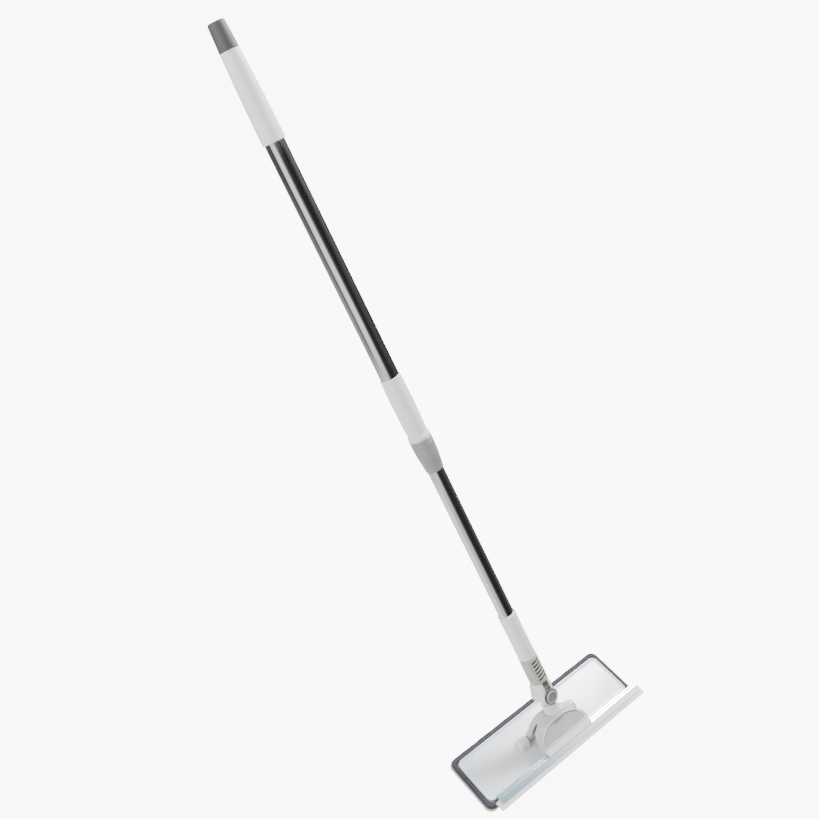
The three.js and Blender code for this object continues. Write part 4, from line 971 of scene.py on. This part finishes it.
def panel_shape(x, y, z, grow, top, bottom):
    """The half-ellipse slab let into the hood's front."""
    up, off = on_slope(y, z)
    plan = np.maximum(half_ellipse(x, up - PANEL_START_MM, PANEL_HALF_MM + grow, PANEL_RISE_MM + grow),
                      PANEL_START_MM - grow - up)
    return np.maximum(plan, np.maximum(off - top, bottom - off)), plan, off


def hood_field(x, y, z):
    """The vault cut to its side outline and its plan, hollow inside, with the boss blended onto its
    crest, a raised bead round the panel's pocket, and bores for the neck, the pin and the screws."""
    outside = shared(shared(outline_distance(y, z, HOOD_SIDE), vault(x, y, z, 0), 1.6),
                     outline_distance(x, y, HOOD_PLAN), 1.4)
    inside = shared(shared(outline_distance(y, z, HOOD_HOLLOW), vault(x, y, z, HOOD_WALL_MM), 2.0),
                    outline_distance(x, y, HOOD_PLAN_INSIDE), 2.0)
    shell = without(outside, inside, 0.7)
    along_y, along_z = y - PIVOT_MM[1], z - PIVOT_MM[2]
    neck_y = along_y * NECK_AXES[1, 1] + along_z * NECK_AXES[1, 2]
    neck_z = along_y * NECK_AXES[2, 1] + along_z * NECK_AXES[2, 2]
    from_axis = np.hypot(x, neck_y)
    shell = blended(shell, outline_distance(from_axis, neck_z, BOSS_FLANK), 3.2)
    slab, plan, off = panel_shape(x, y, z, PANEL_ROOM_MM, 6, -PANEL_POCKET_MM)
    bead = np.hypot(plan - 1.3, off - 0.1) - 0.95
    shell = blended(shell, bead, 1.4)
    shell = without(shell, slab, 0.25)
    shell = np.maximum(shell, -np.maximum(from_axis - NECK_ROOM_MM, NECK_FOOT_MM - PANEL_ROOM_MM - neck_z))
    shell = np.maximum(shell, -np.maximum(from_axis - TENON_ROOM_MM, NECK_FOOT_MM - 8.6 - neck_z))
    shell = np.maximum(shell, HINGE_BORE_MM - np.hypot(y, z - HINGE_Z_MM))
    from_screw = np.hypot(np.abs(x) - JAW_SCREW_PLACE[0], y - JAW_SCREW_PLACE[1])
    shell = np.maximum(shell, -np.maximum(from_screw - 1.8, z - 30))
    return np.maximum(shell, -np.maximum(from_screw - 3.1, z - 27.4))


hood_low, hood_high = box_mm("bracket")
hood_points, hood_faces = skin_of(hood_field, hood_low - 2, hood_high + 2, HOOD_STEP_MM)
hood_plastic = moulded("hood_plastic", HOOD_GREY, 0.36, 0.35, 0.045)
put("hood", hood_points, hood_faces, hood_plastic, "head", ["bracket"])

# ---------------------------------------------------------------- panel insert
# A taupe half-moon of matt plastic snapped into the hood's front, a little below its bead, with a
# faint crown and rounded edges.
PANEL_STEP_MM = 0.45
PANEL_TAUPE = (0.395, 0.37, 0.36)
PANEL_TOP_MM = -0.7
PANEL_GROWN_MM = 0.2
PANEL_FOOT_MM = -1.9


def panel_field(x, y, z):
    """The half-moon slab, crowned by a tenth of a millimetre or two and eased along its edge."""
    plan, off = panel_shape(x, y, z, PANEL_GROWN_MM, PANEL_TOP_MM, PANEL_FOOT_MM)[1:]
    crown = off - PANEL_TOP_MM - 0.25 + 0.25 * np.clip(-plan / 9, 0, 1)
    return shared(plan, np.maximum(crown, PANEL_FOOT_MM - off), 0.7)


panel_low, panel_high = box_mm("panel_insert")
panel_points, panel_faces = skin_of(panel_field, panel_low - 1.5, panel_high + 1.5, PANEL_STEP_MM)
put("half_moon_panel", panel_points, panel_faces, moulded("taupe_plastic", PANEL_TAUPE, 0.45, 0.6, 0.05),
    "head", ["panel_insert"])

# ---------------------------------------------------------------- jaw bar and its screws
# A white bar that two screws from below pull down on the channel's bead. Its front edge is thin and
# its top carries on the hood's slope.
JAW_STEP_MM = 0.45
JAW_WHITE = (0.72, 0.715, 0.70)
JAW_CORNERS = [(-38.2, 36.2), (-38.2, 45.35), (-48.5, 40.4), (-48.5, 36.2)]
SCREW_CORNERS = [(0, 25.9, 0), (1.9, 25.4, 0.3), (2.8, 25.6, 0.4), (2.8, 27.1, 0.2), (1.5, 27.1, 0.1),
                 (1.5, 40.0, 0.3), (0, 40.0, 0)]


def bar_field(x, y, z):
    """The bar's section drawn across the hood with rounded edges and ends, and two blind screw bores."""
    bar = shared(outline_distance(y, z, JAW_CORNERS), np.abs(x) - 43, 1.1)
    from_screw = np.hypot(np.abs(x) - JAW_SCREW_PLACE[0], y - JAW_SCREW_PLACE[1])
    return np.maximum(bar, -np.maximum(from_screw - 1.8, z - 40.3))


def turned(corners, sides=96, longest=None, relief=None):
    """A closed outline of (radius, height, fillet) turned round z, up the outside and down the bore, or
    up from the axis and back to it. relief(angle, height) is taken off the radius of outer points."""
    outline = filleted(corners, longest)
    angle = np.arange(sides) / sides * 2 * math.pi + math.pi / 2
    radius = np.repeat(outline[:, :1], sides, 1)
    height = np.repeat(outline[:, 1:], sides, 1)
    if relief:
        radius = radius - relief(angle[None, :], height) * (radius > 0.85 * outline[:, 0].max())
    points = np.stack([radius * np.cos(angle), radius * np.sin(angle), height], 2).reshape(-1, 3)
    closed = outline[0, 0] > 1e-6
    faces, places = grid_faces(len(outline), sides, closed, True)
    steps = np.linalg.norm(np.diff(outline, axis=0, append=outline[:1]), axis=1)
    way = np.concatenate([[0], np.cumsum(steps)])
    around = 2 * math.pi * outline[:, 0].max() / sides
    return points, faces, np.stack([places[..., 0] * around, way[places[..., 1]]], -1)


bar_low, bar_high = box_mm("jaw_bar")
bar_points, bar_faces = skin_of(bar_field, bar_low - 1.5, bar_high + 1.5, JAW_STEP_MM)
white_bar = moulded("jaw_white", JAW_WHITE, 0.3, 0.2, 0.04)
put("clamp_bar", bar_points, bar_faces, white_bar, "head", ["jaw_bar"])
for screw_side, screw_name in ((-1, "jaw_screw_left"), (1, "jaw_screw_right")):
    screw_points, screw_faces, screw_places = turned(SCREW_CORNERS, 40)
    screw_points += np.array([screw_side * JAW_SCREW_PLACE[0], JAW_SCREW_PLACE[1], 0])
    put(screw_name.replace("jaw", "pan_head"), screw_points, screw_faces, hinge_steel, "head",
        [screw_name], screw_places, sharp=40, ends=True)

# ---------------------------------------------------------------- neck tongue
# The white round neck, pressed into the hood's boss by a tenon. Its flat tongue ends in a disc that
# turns between the fork's cheeks, with a pocket for the lock ring and its spring.
NECK_STEP_MM = 0.45
PLASTIC_WHITE = (0.71, 0.715, 0.70)
NECK_RADIUS_MM = 11.5
NECK_SPAN_MM = (-30, -14)
NECK_TENON_MM = 7
NECK_TENON_SPAN_MM = (-38, -28)
TONGUE_WEB_MM = 11.4
TONGUE_DISC_MM = 13.1
TONGUE_HALF_MM = 4.0
LOCK_POCKET_MM = 9.9
LOCK_POCKET_FLOOR_MM = -0.7
PIN_ROOM_MM = 2.8


def between(value, low, high):
    """Signed distance to the slab from low to high: the distance from its middle less its half."""
    return np.abs(value - (low + high) / 2) - (high - low) / 2


def neck_field(x, y, z):
    """In the neck's own axes: a round shank and tenon, a web and a disc, less the pocket and the bore."""
    from_axis = np.hypot(x, y)
    shank = shared(from_axis - NECK_RADIUS_MM, between(z, *NECK_SPAN_MM), 1.0)
    tenon = np.maximum(from_axis - NECK_TENON_MM, between(z, *NECK_TENON_SPAN_MM))
    web = np.maximum(np.maximum(np.abs(x) - TONGUE_WEB_MM, np.abs(y) - TONGUE_HALF_MM), between(z, -15, 0))
    disc = np.maximum(np.hypot(x, z) - TONGUE_DISC_MM, np.abs(y) - TONGUE_HALF_MM)
    neck = np.minimum(np.minimum(shank, tenon), np.minimum(web, disc))
    pocket = np.maximum(np.hypot(x, z) - LOCK_POCKET_MM, y - LOCK_POCKET_FLOOR_MM)
    return np.maximum(np.maximum(neck, -pocket), PIN_ROOM_MM - np.hypot(x, z))


white_plastic = moulded("white_plastic", PLASTIC_WHITE, 0.33, 0.3, 0.04)
neck_points, neck_faces = skin_of(neck_field, np.array([-14.5, -14.5, -39.5]), np.array([14.5, 14.5, 14.5]),
                                  NECK_STEP_MM)
put("neck", neck_points @ NECK_AXES + PIVOT_MM, neck_faces, white_plastic, "head",
    ["neck_tongue"])

# ---------------------------------------------------------------- knuckle fork
# The pole's lower end: two round cheeks on a shank, a housing behind the sweep of the neck, and a
# spigot up into the pole. The mouldings run into each other in soft fillets.
KNUCKLE_STEP_MM = 0.5
POLE_AXES = np.array([[0.992115, 0.068811, 0.104754], [0, 0.835807, -0.549023],
                      [-0.125333, 0.544694, 0.829217]])
CHEEK_RADIUS_MM = 13.5
CHEEK_HALF_MM = 10.5
SHANK_RADIUS_MM = 13.4
SHANK_SPAN_MM = (12.3, 28.7)
FLATS_TOP_MM = 16
BRIDGE_RADIUS_MM = 12.5
BRIDGE_SPAN_MM = (5.3, 13.1)
HOUSING_RADIUS_MM = 15
HOUSING_SPAN_MM = (12.1, 17.3)
SLOT_HALF_MM = 4.3
SLOT_TOP_MM = 14.0
SWEEP_RADIUS_MM = 13.85
SWEEP_HALF_MM = 11.95
SWEEP_TOP_MM = 12.0
BUTTON_BORE_MM = 8.6
LOCK_BORE_MM = 9.6
LOCK_SPAN_MM = (-7, -4)
SPIGOT_RADIUS_MM = 9.5
SPIGOT_SPAN_MM = (27.1, 73.9)
LATCH_MIDDLE_MM = 51.4
LATCH_ROOM_MM = (7.9, 19.3)
HOUSING_OUTLINE = [(-11.5, 0), (11.5, 0), (11.5, 14), (9.5, 18.5), (5.5, 21), (-5.5, 21), (-9.5, 18.5),
                   (-11.5, 14)]


def knuckle_field(x, y, z):
    """In the pole's axes: barrel, shank and rear housing blended, less the tongue's slot, the neck's
    sweep, the lock and pin bores and the release button's pocket."""
    from_pivot = np.hypot(x, z)
    from_axis = np.hypot(x, y)
    barrel = shared(from_pivot - CHEEK_RADIUS_MM, np.abs(y) - CHEEK_HALF_MM, 1.6)
    shank = shared(from_axis - SHANK_RADIUS_MM, between(z, *SHANK_SPAN_MM), 1.0)
    flats = shared(shared(from_axis - SHANK_RADIUS_MM, np.abs(y) - CHEEK_HALF_MM, 1.2),
                   between(z, 0, FLATS_TOP_MM), 0.4)
    bridge = np.maximum(from_pivot - BRIDGE_RADIUS_MM, between(y, *BRIDGE_SPAN_MM))
    housing = shared(np.minimum(from_pivot - HOUSING_RADIUS_MM, outline_distance(x, z, HOUSING_OUTLINE)),
                     between(y, *HOUSING_SPAN_MM), 2.2)
    body = blended(blended(blended(barrel, flats, 1.5), shank, 3.0), bridge, 0.8)
    body = blended(body, housing, 2.6)
    slot = np.maximum(np.abs(y) - SLOT_HALF_MM, z - SLOT_TOP_MM)
    sweep = np.maximum(np.maximum(SWEEP_RADIUS_MM - from_pivot, np.abs(y) - SWEEP_HALF_MM),
                       z - SWEEP_TOP_MM)
    button_bore = np.maximum(from_pivot - BUTTON_BORE_MM, y + 4)
    lock_bore = np.maximum(from_pivot - LOCK_BORE_MM, between(y, *LOCK_SPAN_MM))
    pin_bore = np.maximum(from_pivot - PIN_ROOM_MM, 4 - y)
    for cut in (slot, sweep, button_bore, lock_bore, pin_bore):
        body = np.maximum(body, -cut)
    spigot = np.maximum(from_axis - SPIGOT_RADIUS_MM, between(z, *SPIGOT_SPAN_MM))
    pocket = np.maximum(np.maximum(np.abs(x) - LATCH_ROOM_MM[0], y + 1),
                        np.abs(z - LATCH_MIDDLE_MM) - LATCH_ROOM_MM[1])
    return np.minimum(body, np.maximum(spigot, -pocket))


def on_pole(points):
    """Points in the pole's axes, in millimetres, brought to their place."""
    return points @ POLE_AXES + PIVOT_MM


def facing_out(points):
    """A piece turned round z, laid with its z towards the knuckle's front."""
    return on_pole(np.stack([points[:, 0], -points[:, 2], points[:, 1]], 1))


knuckle_points, knuckle_faces = skin_of(knuckle_field, np.array([-17.0, -12.5, -17.0]),
                                        np.array([17.0, 20.0, 76.0]), KNUCKLE_STEP_MM)
put("knuckle", on_pole(knuckle_points), knuckle_faces, white_plastic, "lower",
    ["knuckle_fork"])
cap_points, cap_faces, cap_places = turned(
    [(0, -19.1, 0), (6.9, -19.1, 0.6), (7.2, -17.6, 0.1), (0, -17.6, 0)], 64)
put("pivot_plug", facing_out(cap_points), cap_faces, white_plastic, "lower",
    ["pivot_cap"], cap_places, sharp=45, ends=True)

# ---------------------------------------------------------------- angle lock button
# A round button in a dark bezel on the knuckle's front. Pressed, it pushes the lock ring clear. Its
# rim carries a painted highlight, a pale ring, and its face is slightly dished.
BUTTON_GREY = (0.135, 0.145, 0.152)
BUTTON_CLOUD = (0.175, 0.188, 0.196)
# the pale colour of the painted highlight ring on the button's rim
BUTTON_RIM_HIGHLIGHT = (0.45, 0.47, 0.46)
BEZEL_BLACK = (0.055, 0.060, 0.064)
BEZEL_CORNERS = [(9.65, 10.8, 0.1), (11.3, 10.8, 0.2), (11.3, 13.4, 0.9), (9.65, 13.4, 0.3)]
BUTTON_CORNERS = [
    (0, 9.2, 0), (2.8, 9.2, 0.1), (2.8, 6.9, 0.1), (8.2, 6.9, 0.2), (8.2, 12.8, 0.1), (9.3, 12.8, 0.2),
    (9.3, 14.25, 0.6), (8.1, 14.35, 0.5), (7.5, 13.75, 0.6), (3.5, 13.45, 3.0), (0, 13.4, 0),
]


def lock_button():
    """Grey-blue plastic with a painted highlight on its rim: the pale ring follows the piece's own map."""
    material, tree, shader = start_material("button_grey", BUTTON_GREY, 0.36)
    way = own_map(tree)
    parts = tree.nodes.new("ShaderNodeSeparateXYZ")
    tree.links.new(way.socket, parts.inputs[0])
    along = Wire(parts.outputs[1])
    highlight_start, highlight_stop = (
        Wire.add(tree, "ShaderNodeMapRange", {"interpolation_type": "SMOOTHSTEP"},
                 {0: along, 1: start, 2: start + width})
        for start, width in zip(BUTTON_HIGHLIGHT_SPAN, (0.5, 0.35))
    )
    rim_highlight = highlight_start - highlight_stop
    place = own_place(tree)
    grain = noise(tree, place, 1500.0, 4.0)
    cloud = noise(tree, place, 180.0, 3.0)
    face = blend_colours(tree, cloud * 0.5 + grain * 0.3, BUTTON_GREY, BUTTON_CLOUD)
    # the pale ring on the rim is a painted highlight laid over the face's colour
    feed(tree, shader, Base_Color=blend_colours(tree, rim_highlight, face, BUTTON_RIM_HIGHLIGHT),
         Roughness=grain * 0.16 + cloud * 0.1 + 0.24,
         Normal=bump(tree, grain, 0.4, 0.00006))
    return material


button_points, button_faces, button_places = turned(BUTTON_CORNERS, 96)
rim_way = button_places[..., 1].max()
# where along the outline the painted highlight ring starts and ends
BUTTON_HIGHLIGHT_SPAN = (rim_way - 10.6, rim_way - 8.2)
put("lock_button", facing_out(button_points), button_faces, lock_button(), "lock",
    ["angle_button"], button_places, sharp=50, ends=True)
bezel_points, bezel_faces, bezel_places = turned(BEZEL_CORNERS, 96)
put("bezel_ring", facing_out(bezel_points), bezel_faces,
    moulded("bezel_black", BEZEL_BLACK, 0.3, 0.3, 0.2), "lower", ["button_bezel"],
    bezel_places, sharp=50)

# ---------------------------------------------------------------- coupling ring
# A khaki ring round the spigot with a window for the release button. A tenon above it carries the
# lower tube's socket.
RING_STEP_MM = 0.42
KHAKI = (0.375, 0.375, 0.312)
RING_LOW_MM, RING_TOP_MM = 29.0, 72.5
RING_RADIUS_MM = 13.6
RING_TAPER_MM = 0.3
RING_TENON_MM = 11
RING_TENON_SPAN_MM = (70.5, 81.5)
RING_BORE_MM = 9.8


def ring_field(x, y, z):
    """A slightly tapered tube with eased ends, a thinner tenon, and a window with rounded corners."""
    from_axis = np.hypot(x, y)
    share = (z - RING_LOW_MM) / (RING_TOP_MM - RING_LOW_MM)
    outer = from_axis - (RING_RADIUS_MM - RING_TAPER_MM * share)
    ring = shared(outer, between(z, RING_LOW_MM, RING_TOP_MM), 0.8)
    tenon = np.maximum(from_axis - RING_TENON_MM, between(z, *RING_TENON_SPAN_MM))
    body = np.maximum(np.minimum(ring, tenon), RING_BORE_MM - from_axis)
    window = rounded_box(x, z - LATCH_MIDDLE_MM, 0 * y, (*LATCH_ROOM_MM, 9.0), 2.2, 0.2)
    return without(body, np.maximum(window, y), 0.35)


khaki_plastic = moulded("khaki_plastic", KHAKI, 0.4, 0.5, 0.06)
ring_points, ring_faces = skin_of(ring_field, np.array([-15.0, -15.0, 27.5]), np.array([15.0, 15.0, 83.0]),
                                  RING_STEP_MM)
put("khaki_ring", on_pole(ring_points), ring_faces, khaki_plastic, "lower",
    ["coupling_ring"])

# ---------------------------------------------------------------- release button
# The khaki snap button in the ring's window. Six slanting finger notches are cut deep into its
# curved face; painted shade darkens them.
LATCH_STEP_MM = 0.36
LATCH_RADIUS_MM = 13.75
LATCH_GAP_MM = 0.15
LATCH_BACK_MM = -6.4
SPRING_WELL_MM = 3.4
SPRING_WELL_TOP_MM = -9.4
NOTCH_COUNT = 6
NOTCH_PITCH_MM = 5.9
NOTCH_HALF_MM = 1.6
NOTCH_FLOOR_MM = 11.55
NOTCH_SLANT_MM = 1.6
NOTCH_LEFT_MM, NOTCH_RIGHT_MM = -4.3, 9.0
KHAKI_FLOW = (0.355, 0.355, 0.292)
# the colour of the painted shade inside the notches
KHAKI_NOTCH_SHADE = (0.035, 0.034, 0.026)


def notch_distance(x, z):
    """Distance to the nearest notch's middle line in the button's face."""
    share = np.clip((x - NOTCH_LEFT_MM) / (NOTCH_RIGHT_MM - NOTCH_LEFT_MM), 0, 1)
    line_x = NOTCH_LEFT_MM + share * (NOTCH_RIGHT_MM - NOTCH_LEFT_MM)
    first = LATCH_MIDDLE_MM - (NOTCH_COUNT - 1) / 2 * NOTCH_PITCH_MM
    from_first = z - first - (share - 0.5) * NOTCH_SLANT_MM
    number = np.clip(np.round(from_first / NOTCH_PITCH_MM), 0, NOTCH_COUNT - 1)
    return np.hypot(x - line_x, from_first - number * NOTCH_PITCH_MM)


def latch_field(x, y, z):
    """A slice of a cylinder, proud of the ring and eased at its edges, less the notches and the well
    for its spring."""
    from_axis = np.hypot(x, y)
    half_x, half_z = (room - LATCH_GAP_MM for room in LATCH_ROOM_MM)
    plan = rounded_box(x, z - LATCH_MIDDLE_MM, 0 * y, (half_x, half_z, 9.0), 2.05, 0.2)
    button = shared(plan, from_axis - LATCH_RADIUS_MM, 0.4)
    button = np.maximum(button, y - LATCH_BACK_MM)
    notch = np.maximum(notch_distance(x, z) - NOTCH_HALF_MM, NOTCH_FLOOR_MM - from_axis)
    button = without(button, notch, 0.5)
    well = np.maximum(np.hypot(x, z - LATCH_MIDDLE_MM) - SPRING_WELL_MM,
                      between(y, SPRING_WELL_TOP_MM, LATCH_BACK_MM))
    return np.maximum(button, -well)


def notched_khaki():
    """The ring's plastic, with painted shade in the notches, carried by a colour attribute of the mesh."""
    material, tree, shader = start_material("notched_khaki", KHAKI, 0.42)
    notch_shade_mask = Wire.add(tree, "ShaderNodeAttribute", {"attribute_name": "notch_dirt"}, output=2)
    place = own_place(tree)
    etch = noise(tree, place, 2200.0, 3.0)
    flow = noise(tree, place, 60.0, 4.0)
    clean = blend_colours(tree, flow * 0.7 + etch * 0.2, KHAKI, KHAKI_FLOW)
    # painted shade: the notches' insides are darkened towards the dark khaki
    painted_notch_shade = notch_shade_mask * 1.15 - flow * 0.15 - etch * 0.05
    painted_notch_shade = painted_notch_shade.math("MAXIMUM", painted_notch_shade, 0.0)
    feed(tree, shader, Base_Color=blend_colours(tree, painted_notch_shade, clean, KHAKI_NOTCH_SHADE),
         Roughness=flow * 0.14 + etch * 0.08 + notch_shade_mask * 0.3 + 0.3,
         Normal=bump(tree, etch * 0.5, 0.35, 0.00008))
    return material


latch_points, latch_faces = skin_of(latch_field, np.array([-9.0, -15.5, 30.5]), np.array([9.0, -4.5, 72.5]),
                                    LATCH_STEP_MM)
latch = put("notched_button", on_pole(latch_points), latch_faces, notched_khaki(), "latch",
            ["release_button"])
latch_x, latch_y, latch_z = latch_points.T
# marks the notches' insides, where the material paints shade
in_notch = np.clip((NOTCH_HALF_MM + 0.35 - notch_distance(latch_x, latch_z)) / 0.5, 0, 1)
in_notch *= np.clip((LATCH_RADIUS_MM - np.hypot(latch_x, latch_y)) / 0.5, 0, 1)
in_notch *= latch_y < LATCH_BACK_MM - 0.2
notch_dirt = latch.data.attributes.new("notch_dirt", "FLOAT", "POINT")
notch_dirt.data.foreach_set("value", in_notch.astype(np.float32))

# ---------------------------------------------------------------- lower socket and tube
# A white sleeve moulded round the lower tube's end and pinned through. The tube is thin bright steel,
# and slides up inside the upper one.
SOCKET_CORNERS = [
    (11.3, 72.8, 0.2), (12.9, 72.8, 0.4), (12.7, 92.8, 20), (12.7, 117.8, 20), (13.0, 143.3, 10),
    (13.0, 148.5, 0.2), (12.3, 149.3, 0.3), (11.3, 149.3, 0.2),
]
TUBE_STEEL = (0.93, 0.93, 0.92)
LOWER_TUBE_MM = (10.2, 11.0)


def pole_piece(name, corners, material, body, node, sides=96, longest=None, relief=None, sharp=45,
               ends=False):
    """A piece turned round the pole's own axis, put in place of its CAD node."""
    points, faces, places = turned(corners, sides, longest, relief)
    return put(name, on_pole(points), faces, material, body, [node], places, sharp, ends)


def pole_span(node):
    """The lowest and highest distance of a CAD node along the pole from the pivot, in millimetres."""
    spots = np.array([vertex.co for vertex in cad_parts[node].data.vertices]) * 1000 - PIVOT_MM
    along = spots @ POLE_AXES[2]
    return along.min(), along.max()


tube_low, tube_high = pole_span("lower_tube")
tube_steel = polished("tube_steel", TUBE_STEEL, 0.075)
pole_piece("white_socket", SOCKET_CORNERS, white_plastic, "lower", "lower_socket")
tube_bore, tube_outside = LOWER_TUBE_MM
pole_piece("lower_pole", [
    (tube_bore, tube_low, 0.1), (tube_outside, tube_low, 0.1),
    (tube_outside, tube_high, 0.2), (tube_bore, tube_high, 0.2),
], tube_steel, "lower", "lower_tube")

# ---------------------------------------------------------------- twist collar
# A grey cone that screws up onto the sleeve's nose and squeezes a split collet on the lower tube.
# Shallow flutes run along it for grip, between a plain band above and a chamfer below.
COLLAR_GREY = (0.245, 0.262, 0.255)
COLLAR_LOW_MM, COLLAR_TOP_MM = 391.5, 439.3
COLLAR_CORNERS = [
    (11.3, 391.5, 0.1), (11.5, 391.5, 0.2), (12.25, 392.9, 0.5), (14.75, 417.0, 8), (15.3, 432.3, 3),
    (15.25, 434.4, 0.3), (14.95, 434.8, 0.2), (14.95, 435.6, 0.2), (15.2, 436.0, 0.2), (15.2, 438.6, 0.4),
    (14.6, 439.3, 0.3), (13.5, 439.3, 0.1), (13.5, 417.0, 0.1), (12.2, 403.7, 0.1), (11.3, 403.7, 0.1),
]
FLUTE_COUNT = 52
FLUTE_DEPTH_MM = 0.26


def flutes(angle, height):
    """Rounded grooves along the cone, fading out near its lower end and below the plain band."""
    wave = (0.5 + 0.5 * np.cos(angle * FLUTE_COUNT)) ** 1.5
    fade = (np.clip((height - COLLAR_LOW_MM - 4) / 4, 0, 1)
            * np.clip((COLLAR_TOP_MM - 6.5 - height) / 2, 0, 1))
    return FLUTE_DEPTH_MM * wave * fade


pole_piece("fluted_collar", COLLAR_CORNERS, moulded("collar_plastic", COLLAR_GREY, 0.42, 0.5, 0.08),
           "collar", "twist_collar", FLUTE_COUNT * 10, 1.6, flutes, 60)

# ---------------------------------------------------------------- lock sleeve
# A white sleeve pushed over the upper tube's lower end, waisted, and flared to a rim where the collar
# meets it. Its nose below the rim is threaded for the collar.
SLEEVE_CORNERS = [
    (11.3, 417.3, 0.1), (13.2, 417.3, 0.2), (13.2, 439.6, 0.1), (14.7, 439.6, 0.5), (15.1, 440.6, 0.8),
    (15.1, 443.6, 1.2), (13.6, 448.6, 5), (14.0, 461.6, 14), (14.4, 481.6, 20), (14.4, 498.4, 20),
    (13.9, 529.6, 0.8), (13.4, 530.4, 0.3), (12.8, 530.4, 0.2), (12.8, 466.1, 0.2), (11.3, 466.1, 0.1),
]
pole_piece("flared_sleeve", SLEEVE_CORNERS, white_plastic, "handle", "lock_sleeve", 120)

# ---------------------------------------------------------------- upper tube
# The wider tube of the same bright steel, held by the sleeve below and the grip above. The lower tube
# and its stop bush slide inside it.
UPPER_TUBE_MM = (11.7, 12.5)

upper_low, upper_high = pole_span("upper_tube")
upper_bore, upper_outside = UPPER_TUBE_MM
pole_piece("upper_pole", [
    (upper_bore, upper_low, 0.2), (upper_outside, upper_low, 0.2),
    (upper_outside, upper_high, 0.1), (upper_bore, upper_high, 0.1),
], tube_steel, "handle", "upper_tube")

# ---------------------------------------------------------------- handle grip and end cap
# A smooth white moulded grip, pushed over the tube and tapering to its top. A dark soft rubber plug
# is pressed into its end.
GRIP_CORNERS = [
    (12.8, 842.7, 0.2), (13.6, 842.7, 0.4), (14.3, 843.8, 0.7), (14.4, 847.5, 4), (14.25, 859, 14),
    (13.9, 885.6, 25), (13.2, 912.4, 25), (12.4, 933.9, 20), (12.0, 949.6, 0.3), (11.7, 950.0, 0.1),
    (10.2, 950.0, 0.1), (10.2, 884.7, 0.2), (12.8, 884.7, 0.2),
]
CAP_CHARCOAL = (0.068, 0.063, 0.058)
CAP_CORNERS = [
    (0, 938.3, 0), (9.9, 938.3, 0.5), (9.9, 950.3, 0.1), (11.7, 950.3, 0.3), (12.0, 950.8, 0.3),
    (10.6, 978.4, 6), (10.2, 982.4, 3.2), (0, 982.4, 0),
]
pole_piece("white_grip", GRIP_CORNERS, white_plastic, "handle", "handle_grip", 120)
pole_piece("end_plug", CAP_CORNERS, moulded("charcoal_rubber", CAP_CHARCOAL, 0.62, 1.0, 0.14), "handle",
           "end_cap", 96, None, None, 50, True)
